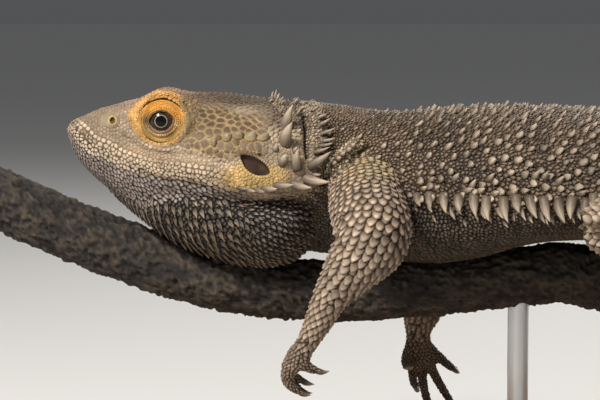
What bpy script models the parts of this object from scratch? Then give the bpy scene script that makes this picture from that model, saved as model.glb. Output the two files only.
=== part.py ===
"""A bearded dragon (Pogona vitticeps), life size, lying along a cut length of branch.

Both forelegs hang beside the branch, the hind feet grip it, and a plain stand holds it up.
Frame: +Z up, origin at the centre of the base's underside. The head points to -X and the
animal's left side faces -Y. Tables are in millimetres; meshes are made in metres.

The body is a run of closed rings carried along a centreline (a loft), like the frames of a hull.
Each limb is a chain of round-ended lofts, and a piece is cut back to a thin gap where it meets
the piece that carries it.
"""

import math

import bmesh
import bpy
import numpy as np
from mathutils import Matrix

MM = 0.001
GAP = 0.3  # clearance between neighbouring solids

# --- driving dimensions, in millimetres -------------------------------------------------------
HEAD_END_X = -69.0  # fold behind the head
NECK_END_X = -56.0
TRUNK_END_X = 25.0
TAIL_TURN_X = (85.0, 130.0)  # where the rings turn from upright to square with the tail
TAIL_CUTS_X = (66.0, 106.0, 160.0, 222.0, 300.0)  # ends of the pelvis and of the tail's lengths
SHARP_ANGLE = 50.0  # degrees between faces from which an edge is shaded sharp

BODY_SIDES = 22
TAIL_SIDES = 16
HEAD_SIDES = 24
BEARD_SIDES = 18
BEARD_RINGS = 10
LIMB_SIDES = 10
DIGIT_SIDES = 5

EYE_AT = (-102.0, 11.0, 91.5)
EYE_RADIUS = 4.5
LID_RADIUS = 5.3
LID_OPENING = 2.8
EAR_AT = (-80.1, 21.0, 81.9)
EAR_RADII = (3.8, 2.6, 2.4)  # along the opening, into the head, across the opening
EAR_TILT = 32.0  # degrees that the opening's rear end drops
NOSTRIL_AT = (-113.6, 9.0, 91.4)
NOSTRIL_SIZE = (0.9, 1.8, 0.9)
# Soft swellings of the head's left side: centre, reach and push (y is mirrored on the right)
SWELLINGS = (
    ((-104.0, -9.5, 97.3), (6.2, 4.0, 4.4), (0.0, -0.9, 3.0)),  # brow
    ((-102.0, -15.0, 91.4), (5.0, 4.0, 4.6), (0.0, -0.6, 0.0)),  # round the eye
    ((-113.6, -9.0, 91.6), (3.0, 3.0, 3.0), (0.0, -0.7, 0.3)),  # round the nostril
)
BROW_RINGS_X = (-105.8, -98.8)  # rings added where the brow rises

# Rows of spines: root and length of the first and the last, radius, way, how many
JAW_FRINGE = ((-81.5, 19.8, 76.2, 3.2, 0.9), (-70.0, 18.4, 77.8, 5.8, 1.25), (0.78, 0.5, -0.26), 5)
NAPE_COLUMN = ((-65.0, 12.2, 90.6, 3.4, 0.95), (-62.2, 15.8, 82.2, 3.4, 0.95),
               (0.85, 0.4, 0.35), 5)
HEAD_END_ROW = ((-71.5, 3.0, 95.4, 2.6, 0.75), (-71.5, 11.4, 94.0, 2.6, 0.75),
                (0.75, 0.2, 0.75), 3)
# Single spines: root, way, length, radius
TEMPLE_SPINES = (((-72.6, 13.2, 92.0), (0.1, 0.35, 1.0), 3.6, 1.3),
                 ((-71.0, 19.0, 81.5), (0.25, 0.5, 0.9), 3.2, 1.2))
NECK_SPINE = ((-67.4, 16.3, 82.4), (0.72, 0.5, 0.5), 5.0, 1.4)

BRANCH_RADIUS = 7.15
BASE_SIZE = (240.0, 110.0, 8.0)
ROD_RADIUS = 2.5
ROD_X = (-18.0, 84.0)

# x, top, widest level, bottom, half width, how much the roof draws in
HEAD_TABLE = np.array(
    [
        (-124.8, 90.1, 88.4, 86.8, 2.0, 0.10),
        (-124.0, 91.2, 88.2, 84.5, 4.3, 0.12),
        (-122.3, 91.9, 87.6, 81.4, 6.4, 0.18),
        (-119.0, 93.5, 87.2, 77.6, 8.3, 0.24),
        (-114.0, 95.0, 87.0, 73.4, 10.6, 0.30),
        (-108.5, 96.5, 86.4, 70.2, 13.3, 0.32),
        (-102.0, 98.0, 85.4, 69.2, 16.5, 0.31),
        (-95.0, 98.1, 84.0, 69.5, 19.2, 0.34),
        (-88.0, 97.9, 82.4, 70.2, 21.2, 0.38),
        (-80.0, 96.7, 81.0, 71.0, 22.6, 0.42),
        (-74.0, 96.1, 80.2, 71.5, 22.0, 0.42),
        (-68.6, 95.6, 79.6, 72.0, 19.6, 0.40),
    ]
)

# x, height of the widest level, bottom, half width: the pouch under the jaw
BEARD_TABLE = np.array(
    [
        (-115.0, 76.2, 73.4, 3.2),
        (-109.0, 73.8, 68.4, 8.6),
        (-102.0, 72.0, 63.5, 13.5),
        (-94.0, 70.5, 59.6, 17.3),
        (-85.0, 69.4, 56.8, 19.4),
        (-76.0, 69.0, 56.1, 19.6),
        (-70.5, 69.2, 58.2, 17.6),
        (-66.8, 69.6, 62.4, 13.0),
        (-64.8, 70.0, 67.4, 5.5),
    ]
)

# x, y, widest level, half width, height above it, depth below it: neck, trunk, hips and tail
BODY_TABLE = np.array(
    [
        (-74.0, 0.0, 83.0, 15.8, 12.5, 16.5),
        (-69.0, 0.0, 81.5, 16.4, 14.0, 20.8),
        (-62.0, 0.0, 79.0, 16.8, 15.9, 19.9),
        (-54.0, 0.0, 76.5, 18.6, 17.1, 18.2),
        (-46.0, 0.0, 75.0, 22.0, 18.0, 17.5),
        (-38.0, 0.0, 74.5, 25.8, 19.0, 17.3),
        (-28.0, 0.0, 74.4, 29.2, 19.8, 15.7),
        (-17.0, 0.0, 74.2, 31.0, 20.1, 12.3),
        (-5.0, 0.0, 74.0, 31.6, 19.9, 11.0),
        (8.0, 0.0, 73.2, 30.3, 19.4, 11.0),
        (20.0, 0.0, 71.5, 27.0, 18.8, 11.0),
        (32.0, 0.0, 69.3, 22.6, 17.2, 10.9),
        (45.0, 0.0, 67.3, 18.6, 14.6, 10.3),
        (58.0, 0.0, 65.9, 15.6, 12.0, 9.5),
        (74.0, 0.0, 65.0, 13.0, 9.8, 8.7),
        (90.0, 0.0, 64.2, 11.2, 8.5, 7.9),
        (108.0, 0.0, 62.0, 9.6, 7.6, 7.1),
        (132.0, -0.5, 55.5, 7.9, 6.6, 6.2),
        (162.0, -2.0, 45.5, 6.3, 5.5, 5.2),
        (195.0, -5.0, 35.5, 4.9, 4.4, 4.2),
        (228.0, -10.0, 27.5, 3.7, 3.3, 3.2),
        (258.0, -17.0, 22.5, 2.6, 2.3, 2.3),
        (282.0, -25.0, 20.0, 1.7, 1.6, 1.6),
        (301.0, -34.0, 19.0, 0.8, 0.8, 0.8),
    ]
)

# The animal's mouth line seen from the side, front to corner: x, z
MOUTH_LINE = np.array(
    [
        (-127.0, 92.6),
        (-123.6, 90.2),
        (-120.8, 87.6),
        (-118.2, 85.4),
        (-112.0, 82.6),
        (-105.5, 80.5),
        (-96.5, 79.4),
        (-87.5, 78.0),
    ]
)

BRANCH_PATH = np.array(
    [
        (-152.0, 1.0, 76.5),
        (-141.0, 0.5, 72.0),
        (-118.0, 0.0, 62.2),
        (-94.0, 0.0, 54.0),
        (-70.0, 0.0, 50.6),
        (-42.0, 0.0, 51.2),
        (-20.0, 0.0, 53.4),
        (-7.0, 0.0, 54.6),
        (4.0, 0.0, 52.4),
        (22.0, 0.0, 49.8),
        (50.0, 0.0, 49.0),
        (80.0, 0.5, 49.3),
        (110.0, 1.0, 48.4),
    ]
)

# Limb joints for the near (left) side and the far (right) side: x, y outwards, z and radius
SIDES = {"left": -1, "right": 1}
UPPER_ARM = {
    "left": ((-55.0, 9.0, 77.0, 9.0), (-54.6, 22.0, 72.8, 9.0), (-54.6, 33.0, 65.4, 8.2)),
    "right": ((-54.0, 9.0, 77.0, 9.0), (-48.5, 21.0, 71.5, 8.9), (-42.5, 31.5, 62.0, 7.6)),
}
FOREARM = {
    "left": ((-54.6, 33.5, 65.0, 7.6), (-59.8, 36.5, 58.6, 5.6), (-63.6, 37.0, 53.2, 4.0),
             (-65.8, 36.8, 48.6, 3.4), (-68.6, 36.0, 43.2, 2.9)),
    "right": ((-42.5, 31.5, 62.0, 7.4), (-39.2, 34.0, 53.5, 7.4), (-38.4, 34.0, 45.0, 6.4),
              (-40.0, 33.0, 36.0, 3.8)),
}
THIGH = ((34.0, 8.0, 72.0, 10.5), (20.0, 20.0, 72.5, 10.4), (-1.5, 33.0, 70.5, 8.2))
SHANK = ((-1.5, 33.0, 70.5, 7.6), (9.0, 25.5, 63.5, 7.2), (20.0, 17.8, 55.5, 4.9),
         (25.0, 14.6, 52.0, 4.0))

# Palm of each hand: wrist, knuckles, the way its back faces, thickness and half width
PALM = {
    "left": ((-68.4, -36.0, 43.4), (-72.2, -35.0, 37.9), (-0.78, -0.35, 0.52)),
    "right": ((-40.2, 33.0, 35.2), (-39.6, 33.0, 28.6), (-0.25, 0.96, 0.0)),
}
PALM_HALF = (3.5, 2.3)  # across, thick
# place across the palm, spread, first bend, bend at each joint, length; outer to inner digit
HAND_DIGITS = {
    "left": ((0.95, 4, 82, 8, 4.4), (0.45, 0, 2, 40, 8.0), (0.0, -12, 8, 40, 9.0),
             (-0.5, -26, 16, 36, 8.5), (-0.95, -44, 30, 30, 6.5)),
    "right": ((0.95, 40, 4, 24, 9.0), (0.5, 20, 2, 16, 14.5), (0.0, 0, 6, 14, 14.0),
              (-0.5, -16, 12, 26, 10.5), (-0.95, -34, 24, 30, 8.0)),
}
DIGIT_RADII = (1.55, 1.15)
CLAW_LENGTH = 2.3

# Toes wrap the branch: start along it, run along it and angle reached, from its underside
FOOT_SHIFT = {"left": 0.0, "right": 9.0}  # the right foot grips a little further back
TOES = ((0.0, -11.0, 34), (1.8, -5.5, 14), (4.2, -0.5, 6), (7.0, 4.0, 16), (10.5, 8.5, 40))
SOLE_ANGLE = 92.0  # degrees round the branch from its underside
TOE_RADII = (1.7, 1.15)

# The flank's fringe of spines: where it runs on each side, how many, first and last length
FRINGE_X = {"left": (-44.0, -14.0), "right": (-36.0, -6.0)}
FRINGE_COUNT = 13
FRINGE_LENGTH = (2.4, 3.9)

COLOURS = {
    "head": (0.42, 0.31, 0.20),
    "jaw": (0.33, 0.27, 0.22),
    "beard": (0.12, 0.10, 0.085),
    "eye": (0.05, 0.035, 0.02),
    "ear": (0.08, 0.04, 0.02),
    "back": (0.22, 0.165, 0.115),
    "limb": (0.27, 0.21, 0.155),
    "tail": (0.20, 0.15, 0.105),
    "claw": (0.10, 0.075, 0.05),
    "bark": (0.10, 0.078, 0.058),
    "wood": (0.36, 0.24, 0.14),
    "steel": (0.55, 0.55, 0.56),
}


ROUGHNESS = {"eye": 0.1, "steel": 0.3, "claw": 0.4, "wood": 0.5}
DEFAULT_ROUGHNESS = 0.75


# --- scene --------------------------------------------------------------------------------------
def clear_scene():
    for item in list(bpy.data.objects):
        bpy.data.objects.remove(item, do_unlink=True)


def new_collection(name):
    made = bpy.data.collections.new(name)
    bpy.context.scene.collection.children.link(made)
    return made


def make_material(name, colour):
    material = bpy.data.materials.new(name)
    material.use_nodes = True
    shader = material.node_tree.nodes["Principled BSDF"]
    shader.inputs["Base Color"].default_value = (*colour, 1.0)
    shader.inputs["Roughness"].default_value = ROUGHNESS.get(name, DEFAULT_ROUGHNESS)
    shader.inputs["Metallic"].default_value = 1.0 if name == "steel" else 0.0
    return material


clear_scene()
ANIMAL = new_collection("bearded_dragon")
CUTTERS = new_collection("cutters")
MATERIALS = {name: make_material(name, colour) for name, colour in COLOURS.items()}


# --- curves and rings -------------------------------------------------------------------------
def smooth(knots, values, at):
    """Cubic curve through the knots, whose slope at each is that of a parabola through three."""
    knots, values, at = (np.asarray(item, float) for item in (knots, values, at))
    slope = np.gradient(values, knots, axis=0)
    left = np.clip(np.searchsorted(knots, at) - 1, 0, len(knots) - 2)
    width = knots[left + 1] - knots[left]
    part = (at - knots[left]) / width
    if values.ndim == 2:
        width, part = width[:, None], part[:, None]
    rise = values[left + 1] - values[left]
    ease = part * part * (3 - 2 * part)
    start = part * (1 - part) ** 2 * width * slope[left]
    finish = part * part * (part - 1) * width * slope[left + 1]
    return values[left] + ease * rise + start + finish


def unit(vectors):
    return vectors / np.linalg.norm(vectors, axis=-1, keepdims=True)


def frames(centres, reference):
    """Tangent, side and up vectors along a path; the side is square to the reference."""
    tangent = unit(np.gradient(centres, axis=0))
    side = unit(np.cross(reference, tangent))
    return tangent, side, np.cross(tangent, side)


def oval(sides, power_up=2.0, power_down=2.0, taper=0.0):
    """Across and rise of a closed oval: a superellipse whose roof may be drawn in by taper."""
    angle = 2 * math.pi * np.arange(sides) / sides
    cosine, sine = np.cos(angle), np.sin(angle)
    power = np.where(sine >= 0, power_up, power_down)
    across = np.sign(cosine) * np.abs(cosine) ** (2 / power)
    rise = np.sign(sine) * np.abs(sine) ** (2 / power)
    return across * (1 - np.where(sine > 0, taper, 0.0) * rise**2), rise


def place_ring(centre, side, up, across, rise, half_width, above, below):
    height = np.where(rise > 0, above, below) * rise
    return centre + side * (half_width * across)[:, None] + up * height[:, None]


# --- objects ----------------------------------------------------------------------------------
def add_mesh(name, points, faces, group, finish=None):
    """One object from millimetre points, its faces turned outwards and shaded smooth."""
    mesh = bpy.data.meshes.new(name)
    mesh.from_pydata((np.asarray(points) * MM).tolist(), [], faces)
    shape = bmesh.new()
    shape.from_mesh(mesh)
    bmesh.ops.recalc_face_normals(shape, faces=shape.faces[:])
    shape.to_mesh(mesh)
    shape.free()
    mesh.shade_smooth()
    mesh.set_sharp_from_angle(angle=math.radians(SHARP_ANGLE))
    item = bpy.data.objects.new(name, mesh)
    group.objects.link(item)
    if finish:
        mesh.materials.append(MATERIALS[finish])
    else:
        item.hide_render = True
        item.display_type = "WIRE"
    return item


def loft(name, rings, finish=None):
    """A closed solid over a run of rings, its two ends shut by flat faces."""
    rings = np.asarray(rings)
    runs, sides = rings.shape[:2]
    index = np.arange(runs * sides).reshape(runs, sides)
    ahead = np.roll(index, -1, axis=1)
    walls = np.stack([index[:-1], ahead[:-1], ahead[1:], index[1:]], axis=-1).reshape(-1, 4)
    faces = walls.tolist() + [index[0].tolist(), index[-1].tolist()]
    return add_mesh(name, rings.reshape(-1, 3), faces, ANIMAL if finish else CUTTERS, finish)


def prism(name, outline, half_depth):
    """A side-view outline (x, z) carried across the animal, as a cutter."""
    count = len(outline)
    near = np.column_stack([outline[:, 0], np.full(count, -half_depth), outline[:, 1]])
    far = near * (1, -1, 1)
    return loft(name, [near, far])


def primitive(name, maker, place, stretch, finish=None, tilt=0.0, **options):
    """A bmesh primitive, stretched, tilted about +Y and set in place (millimetres)."""
    shape = bmesh.new()
    maker(shape, **options)
    bmesh.ops.scale(shape, vec=[value * MM for value in stretch], verts=shape.verts)
    turn = Matrix.Rotation(math.radians(tilt), 3, "Y")
    bmesh.ops.rotate(shape, cent=(0, 0, 0), matrix=turn, verts=shape.verts)
    bmesh.ops.translate(shape, vec=[value * MM for value in place], verts=shape.verts)
    mesh = bpy.data.meshes.new(name)
    shape.to_mesh(mesh)
    shape.free()
    mesh.shade_smooth()
    mesh.set_sharp_from_angle(angle=math.radians(SHARP_ANGLE))
    item = bpy.data.objects.new(name, mesh)
    (ANIMAL if finish else CUTTERS).objects.link(item)
    if finish:
        mesh.materials.append(MATERIALS[finish])
    else:
        item.hide_render = True
        item.display_type = "WIRE"
    return item


def ball(name, place, size, finish=None, around=14, rings=8, tilt=0.0):
    options = {"u_segments": around, "v_segments": rings, "radius": 1.0}
    return primitive(name, bmesh.ops.create_uvsphere, place, size, finish, tilt, **options)


def combine(item, other, operation):
    """Adds an exact Boolean of another object to this one."""
    step = item.modifiers.new(f"{operation.lower()}_{other.name}", "BOOLEAN")
    step.operation = operation
    step.object = other
    step.solver = "EXACT"
    if operation == "UNION":
        step.use_self = True


def settle(item):
    """Applies the modifiers and keeps the largest body, so that no loose sliver stays."""
    bpy.context.view_layer.update()
    graph = bpy.context.evaluated_depsgraph_get()
    mesh = bpy.data.meshes.new_from_object(item.evaluated_get(graph))
    shape = bmesh.new()
    shape.from_mesh(mesh)
    bmesh.ops.remove_doubles(shape, verts=shape.verts, dist=2e-6)
    bmesh.ops.dissolve_degenerate(shape, dist=2e-6, edges=shape.edges)
    keep_largest(shape)
    shape.to_mesh(mesh)
    shape.free()
    item.modifiers.clear()
    item.data = mesh
    mesh.shade_smooth()
    mesh.set_sharp_from_angle(angle=math.radians(SHARP_ANGLE))


def keep_largest(shape):
    """Deletes every connected body of the mesh but the one with the most room in its box."""
    left = set(shape.verts)
    bodies = []
    while left:
        body, edge = set(), {left.pop()}
        while edge:
            body |= edge
            edge = {link.other_vert(v) for v in edge for link in v.link_edges} - body
        left -= body
        spans = np.ptp([tuple(v.co) for v in body], axis=0)
        bodies.append((float(np.prod(spans + 1e-5)), body))
    bodies.sort(key=lambda pair: pair[0])
    for _, body in bodies[:-1]:
        bmesh.ops.delete(shape, geom=list(body), context="VERTS")


# --- spines -----------------------------------------------------------------------------------
def spike_points(root, way, length, radius, sides=4):
    """A slim cone standing on root, its foot sunk a little into what carries it."""
    way = unit(np.asarray(way, float))
    across = unit(np.cross(way, (0.31, 0.17, 0.93)))
    other = np.cross(way, across)
    angle = 2 * math.pi * np.arange(sides)[:, None] / sides
    foot = np.asarray(root) - way * 1.2
    return np.vstack([foot + radius * (np.cos(angle) * across + np.sin(angle) * other),
                      np.asarray(root) + way * length])


def add_spikes(item, spikes):
    """Unions a set of spines (root, way, length, radius) to the piece that they grow from."""
    points, faces = [], []
    for spike in spikes:
        made = spike_points(*spike)
        base = len(points)
        sides = len(made) - 1
        points.extend(made.tolist())
        faces.append([base + k for k in range(sides)])
        faces.extend([base + k, base + (k + 1) % sides, base + sides] for k in range(sides))
    group = add_mesh(item.name + "_spines", points, faces, CUTTERS)
    combine(item, group, "UNION")


# --- body -------------------------------------------------------------------------------------
def body_rings(at, extra=0.0, sides=BODY_SIDES):
    """Rings at the given x, grown all round by extra: upright in the trunk, square to the tail."""
    x, y, level, half, above, below = (BODY_TABLE[:, k] for k in range(6))
    centres = smooth(x, np.column_stack([x, y, level]), at)
    near = smooth(x, np.column_stack([x, y, level]), np.asarray(at) + 0.5)
    turned = np.clip((np.asarray(at) - TAIL_TURN_X[0]) / np.ptp(TAIL_TURN_X), 0, 1)[:, None]
    tangent = unit((1 - turned) * (1, 0, 0) + turned * unit(near - centres))
    side = unit(np.cross((0, 0, 1), tangent))
    up = np.cross(tangent, side)
    across, rise = oval(sides, 2.3, 2.3)
    sizes = smooth(x, np.column_stack([half, above, below]), at) + extra
    return [
        place_ring(centres[k], side[k], up[k], across, rise, *sizes[k]) for k in range(len(at))
    ]


def swell(points, centre, reach, push):
    """Moves points by push, fading with distance from centre as a bell curve does."""
    away = (points - np.asarray(centre)) / np.asarray(reach)
    return points + np.exp(-np.sum(away**2, axis=-1))[..., None] * np.asarray(push)


def head_rings(extra=0.0):
    """Upright rings of the whole head, with the brows and nasal bumps swollen."""
    x = HEAD_TABLE[:, 0]
    at = np.sort([*x[:-1], *BROW_RINGS_X, HEAD_END_X - GAP / 2])
    rings = []
    for place, top, level, bottom, half, taper in smooth(x, HEAD_TABLE, at):
        across, rise = oval(HEAD_SIDES, 3.0, 2.4, taper)
        above, below = top - level + extra, level - bottom + extra
        centre = np.array((place, 0.0, level))
        rings.append(place_ring(centre, np.array((0.0, 1.0, 0.0)), np.array((0.0, 0.0, 1.0)),
                                across, rise, half + extra, above, below))
    rings = np.array(rings)
    for centre, reach, push in SWELLINGS:
        for mirror in ((1, 1, 1), (1, -1, 1)):
            rings = swell(rings, np.multiply(centre, mirror), reach, np.multiply(push, mirror))
    rings[0, :, 0] -= extra
    rings[-1, :, 0] += extra
    return rings


def mouth_block(name, offset):
    """Everything below the mouth line and ahead of its corner, shifted by offset."""
    line = MOUTH_LINE + (0.0, offset)
    corner = MOUTH_LINE[-1] + (offset, offset)
    outline = np.vstack([line[:-1], corner, (-93.0 + offset, 60.0), (-130.0, 60.0)])
    return prism(name, outline, 40.0)


def row_of_spikes(first, last, way, count, sign):
    """Spines whose roots, lengths and radii run evenly from the first to the last."""
    mirror = np.array((1, sign, 1))
    table = np.linspace(first, last, count)
    return [(row[:3] * mirror, way * mirror, row[3], row[4]) for row in table]


def head_spikes():
    """Jaw fringe, the row behind the crown and the big cones behind the temple, both sides."""
    spikes = []
    for sign in SIDES.values():
        mirror = np.array((1, sign, 1))
        spikes += row_of_spikes(*JAW_FRINGE, sign) + row_of_spikes(*HEAD_END_ROW, sign)
        spikes += [(root * mirror, way * mirror, *size) for root, way, *size in TEMPLE_SPINES]
    return spikes


def neck_spikes():
    """The upright column of spines on the nape, and the big one below it, both sides."""
    spikes = []
    for sign in SIDES.values():
        mirror = np.array((1, sign, 1))
        root, way, *size = NECK_SPINE
        spikes += [*row_of_spikes(*NAPE_COLUMN, sign), (root * mirror, way * mirror, *size)]
    return spikes


def fringe_spikes():
    """The flank's fringe: cones pointing out, down and back along the widest line."""
    spikes = []
    for side, sign in SIDES.items():
        at = np.linspace(*FRINGE_X[side], FRINGE_COUNT)
        half = smooth(BODY_TABLE[:, 0], BODY_TABLE[:, 3], at)
        lengths = np.linspace(*FRINGE_LENGTH, FRINGE_COUNT)
        for x, reach, length in zip(at, half, lengths, strict=True):
            root = (x, sign * (reach - 0.4), 74.2)
            spikes.append((root, (0.35, sign * 0.62, -0.7), length, 0.95))
    return spikes


def build_head():
    whole = loft("head", head_rings(), "head")
    jaw = loft("jaw", head_rings(), "jaw")
    combine(whole, mouth_block("mouth_cut", GAP / 2), "DIFFERENCE")
    combine(jaw, mouth_block("jaw_keep", -GAP / 2), "INTERSECT")
    build_eyes(whole)
    build_ears(whole)
    for side, sign in SIDES.items():
        place = np.array(NOSTRIL_AT) * (1, sign, 1)
        cutter = ball(f"nostril_{side}", place, NOSTRIL_SIZE, around=8, rings=6)
        combine(whole, cutter, "DIFFERENCE")
    add_spikes(whole, head_spikes())
    settle(jaw)
    return whole, jaw


def build_eyes(head):
    """Lids drawn over each eyeball as a thin dome, with a round opening."""
    for side, sign in SIDES.items():
        place = np.array((EYE_AT[0], sign * EYE_AT[1], EYE_AT[2]))
        size = np.full(3, EYE_RADIUS)
        ball(f"eye_{side}", place, size, "eye", 10, 7)
        combine(head, ball(f"lids_{side}", place, np.full(3, LID_RADIUS), None, 12, 7), "UNION")
        socket = ball(f"orbit_{side}", place, size + 1.6 * GAP, None, 12, 6)
        combine(head, socket, "DIFFERENCE")
        front = place + (0, sign * (EYE_RADIUS + 1.0), 0)
        slit = ball(f"lid_slit_{side}", front, (LID_OPENING, 3.2, LID_OPENING), None, 12, 6)
        combine(head, slit, "DIFFERENCE")


def build_ears(head):
    """A recess on each side, floored by the eardrum."""
    for side, sign in SIDES.items():
        place = np.array((EAR_AT[0], sign * EAR_AT[1], EAR_AT[2]))
        combine(head, ball(f"ear_pit_{side}", place, EAR_RADII, None, 10, 6, EAR_TILT),
                "DIFFERENCE")
        drum = ball(f"ear_{side}", place, np.array(EAR_RADII) - GAP, "ear", 10, 6, EAR_TILT)
        outside = primitive(f"ear_open_{side}", bmesh.ops.create_cube,
                            place + (0, sign * 3.4, 0), (12, 8, 12), size=1.0)
        combine(drum, outside, "DIFFERENCE")
        settle(drum)


def build_beard(cutters):
    rings = []
    at = np.linspace(BEARD_TABLE[0, 0], BEARD_TABLE[-1, 0], BEARD_RINGS)
    across, rise = oval(BEARD_SIDES, 2.2, 2.1)
    for x, level, bottom, half in smooth(BEARD_TABLE[:, 0], BEARD_TABLE, at):
        centre = np.array((x, 0.0, level))
        rings.append(place_ring(centre, np.array((0.0, 1.0, 0.0)), np.array((0.0, 0.0, 1.0)),
                                across, rise, half, 6.0, level - bottom))
    beard = loft("beard", rings, "beard")
    for cutter in cutters:
        combine(beard, cutter, "DIFFERENCE")
    settle(beard)


def build_body(branch_cut):
    """Neck, trunk, hips and tail: one hull parted by thin upright gaps."""
    ends = (HEAD_END_X, NECK_END_X, TRUNK_END_X, *TAIL_CUTS_X)
    names = ("neck", "trunk", "pelvis", "tail_1", "tail_2", "tail_3", "tail_4")
    steps = (3, 9, 5, 4, 5, 6, 6)
    for name, start, stop, count in zip(names, ends[:-1], ends[1:], steps, strict=True):
        at = np.linspace(start + GAP / 2, stop - GAP / 2, count)
        sides, finish = (TAIL_SIDES, "tail") if name.startswith("tail") else (BODY_SIDES, "back")
        item = loft(name, body_rings(at, 0.0, sides), finish)
        if name == "neck":
            add_spikes(item, neck_spikes())
        if name == "trunk":
            add_spikes(item, fringe_spikes())
        if start < BRANCH_PATH[-1, 0] and name != "neck":
            combine(item, branch_cut, "DIFFERENCE")
        settle(item)


# --- limbs ------------------------------------------------------------------------------------
def round_tube(points, radii, sides, runs, reference, flat=1.0, extra=0.0, nose=(72, 36)):
    """Rings along a smooth path, with a round nose at each end; flat thins them one way."""
    points, radii = np.asarray(points, float), np.asarray(radii, float)
    along = np.concatenate([[0], np.cumsum(np.linalg.norm(np.diff(points, axis=0), axis=1))])
    at = np.linspace(0, along[-1], runs)
    centres = smooth(along, points, at)
    size = smooth(along, radii, at) + extra
    tangent, side, up = frames(centres, reference)
    across, rise = oval(sides)
    rings = []
    for lean in nose:
        back = centres[0] - tangent[0] * size[0] * math.sin(math.radians(lean))
        shrunk = size[0] * math.cos(math.radians(lean))
        rings.append(place_ring(back, side[0], up[0], across, rise, shrunk, shrunk * flat,
                                shrunk * flat))
    for k in range(runs):
        rings.append(place_ring(centres[k], side[k], up[k], across, rise, size[k],
                                size[k] * flat, size[k] * flat))
    for lean in nose[::-1]:
        fore = centres[-1] + tangent[-1] * size[-1] * math.sin(math.radians(lean))
        shrunk = size[-1] * math.cos(math.radians(lean))
        rings.append(place_ring(fore, side[-1], up[-1], across, rise, shrunk, shrunk * flat,
                                shrunk * flat))
    return rings


def limb_piece(name, joints, sign, finish, cutters, reference, runs=5, flat=1.0):
    """One length of a limb, cut back to a gap where it meets each cutter; returns its cutter."""
    table = np.array(joints, float) * (1, sign, 1, 1)
    rings = round_tube(table[:, :3], table[:, 3], LIMB_SIDES, runs, reference, flat)
    item = loft(name, rings, finish)
    for cutter in cutters:
        combine(item, cutter, "DIFFERENCE")
    settle(item)
    grown = round_tube(table[:, :3], table[:, 3], LIMB_SIDES, runs, reference, flat, GAP)
    return loft(name + "_cut", grown)


def claw(name, root, way, bend, length, radius):
    """A curved hook that starts a gap beyond the digit's tip and bends towards bend."""
    way, bend = unit(np.asarray(way, float)), unit(np.asarray(bend, float))
    sizes = radius * np.array((1.0, 0.68, 0.1))
    count = len(sizes)
    turn = np.radians(np.linspace(0, 62, count))
    ways = np.cos(turn)[:, None] * way + np.sin(turn)[:, None] * bend
    steps = np.vstack([way * GAP, ways[:-1] * length / (count - 1)])
    centres = root + np.cumsum(steps, axis=0)
    side = unit(np.cross(way, bend))
    across, rise = oval(4)
    rings = [
        place_ring(centres[k], side, np.cross(ways[k], side), across, rise, sizes[k], sizes[k],
                   sizes[k])
        for k in range(count)
    ]
    loft(name, rings, "claw")


def digit_path(start, way, curl_axis, first, bend, length):
    """Four points of a digit that turns about curl_axis by first, then bend at each joint."""
    points = [np.asarray(start, float)]
    for k in range(3):
        angle = math.radians(first + bend * k)
        toward = np.cross(curl_axis, way)
        points.append(points[-1] + length / 3 * (math.cos(angle) * way + math.sin(angle) * toward))
    return np.array(points)


def build_hand(side, cutter):
    """Palm with five digits in one solid, and a separate claw on each digit."""
    wrist, knuckles, back = (np.asarray(item, float) for item in PALM[side])
    along = unit(knuckles - wrist)
    across = unit(np.cross(along, back)) * SIDES[side]
    back = unit(np.cross(across, along)) * SIDES[side]
    palm_points = [wrist, (wrist + knuckles) / 2, knuckles]
    rings = round_tube(palm_points, (3.3, 3.5, 2.9), 8, 3, back, PALM_HALF[1] / PALM_HALF[0])
    hand = loft(f"hand_{side}", rings, "limb")
    for number, (place, spread, first, bend, length) in enumerate(HAND_DIGITS[side], 1):
        lean = math.radians(spread)
        way = math.cos(lean) * along + math.sin(lean) * across
        start = knuckles + across * place * PALM_HALF[0] * 0.75 - along * (0.8 + 2.2 * place**2)
        axis = unit(np.cross(way, -back))
        path = digit_path(start, way, axis, first, bend, length)
        radii = np.linspace(*DIGIT_RADII, 4)
        tube = loft(f"digit_{side}_{number}",
                    round_tube(path, radii, DIGIT_SIDES, 4, axis, nose=(55,)))
        combine(hand, tube, "UNION")
        end_way = unit(path[-1] - path[-2])
        tip = path[-1] + end_way * DIGIT_RADII[1]
        claw(f"claw_hand_{side}_{number}", tip, end_way, np.cross(axis, end_way), CLAW_LENGTH, 0.85)
    combine(hand, cutter, "DIFFERENCE")
    settle(hand)


def branch_at(x):
    return smooth(BRANCH_PATH[:, 0], BRANCH_PATH, np.atleast_1d(float(x)))[0]


def wrap_points(start_x, run, start_angle, end_angle, sign, clear, count=4):
    """A path round the branch: it slides along by run as its angle from the underside falls."""
    points = []
    for part in np.linspace(0, 1, count):
        centre = branch_at(start_x + run * part)
        angle = math.radians(start_angle + (end_angle - start_angle) * part)
        reach = BRANCH_RADIUS + clear
        points.append(centre + (0, sign * reach * math.sin(angle), -reach * math.cos(angle)))
    return np.array(points)


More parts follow.
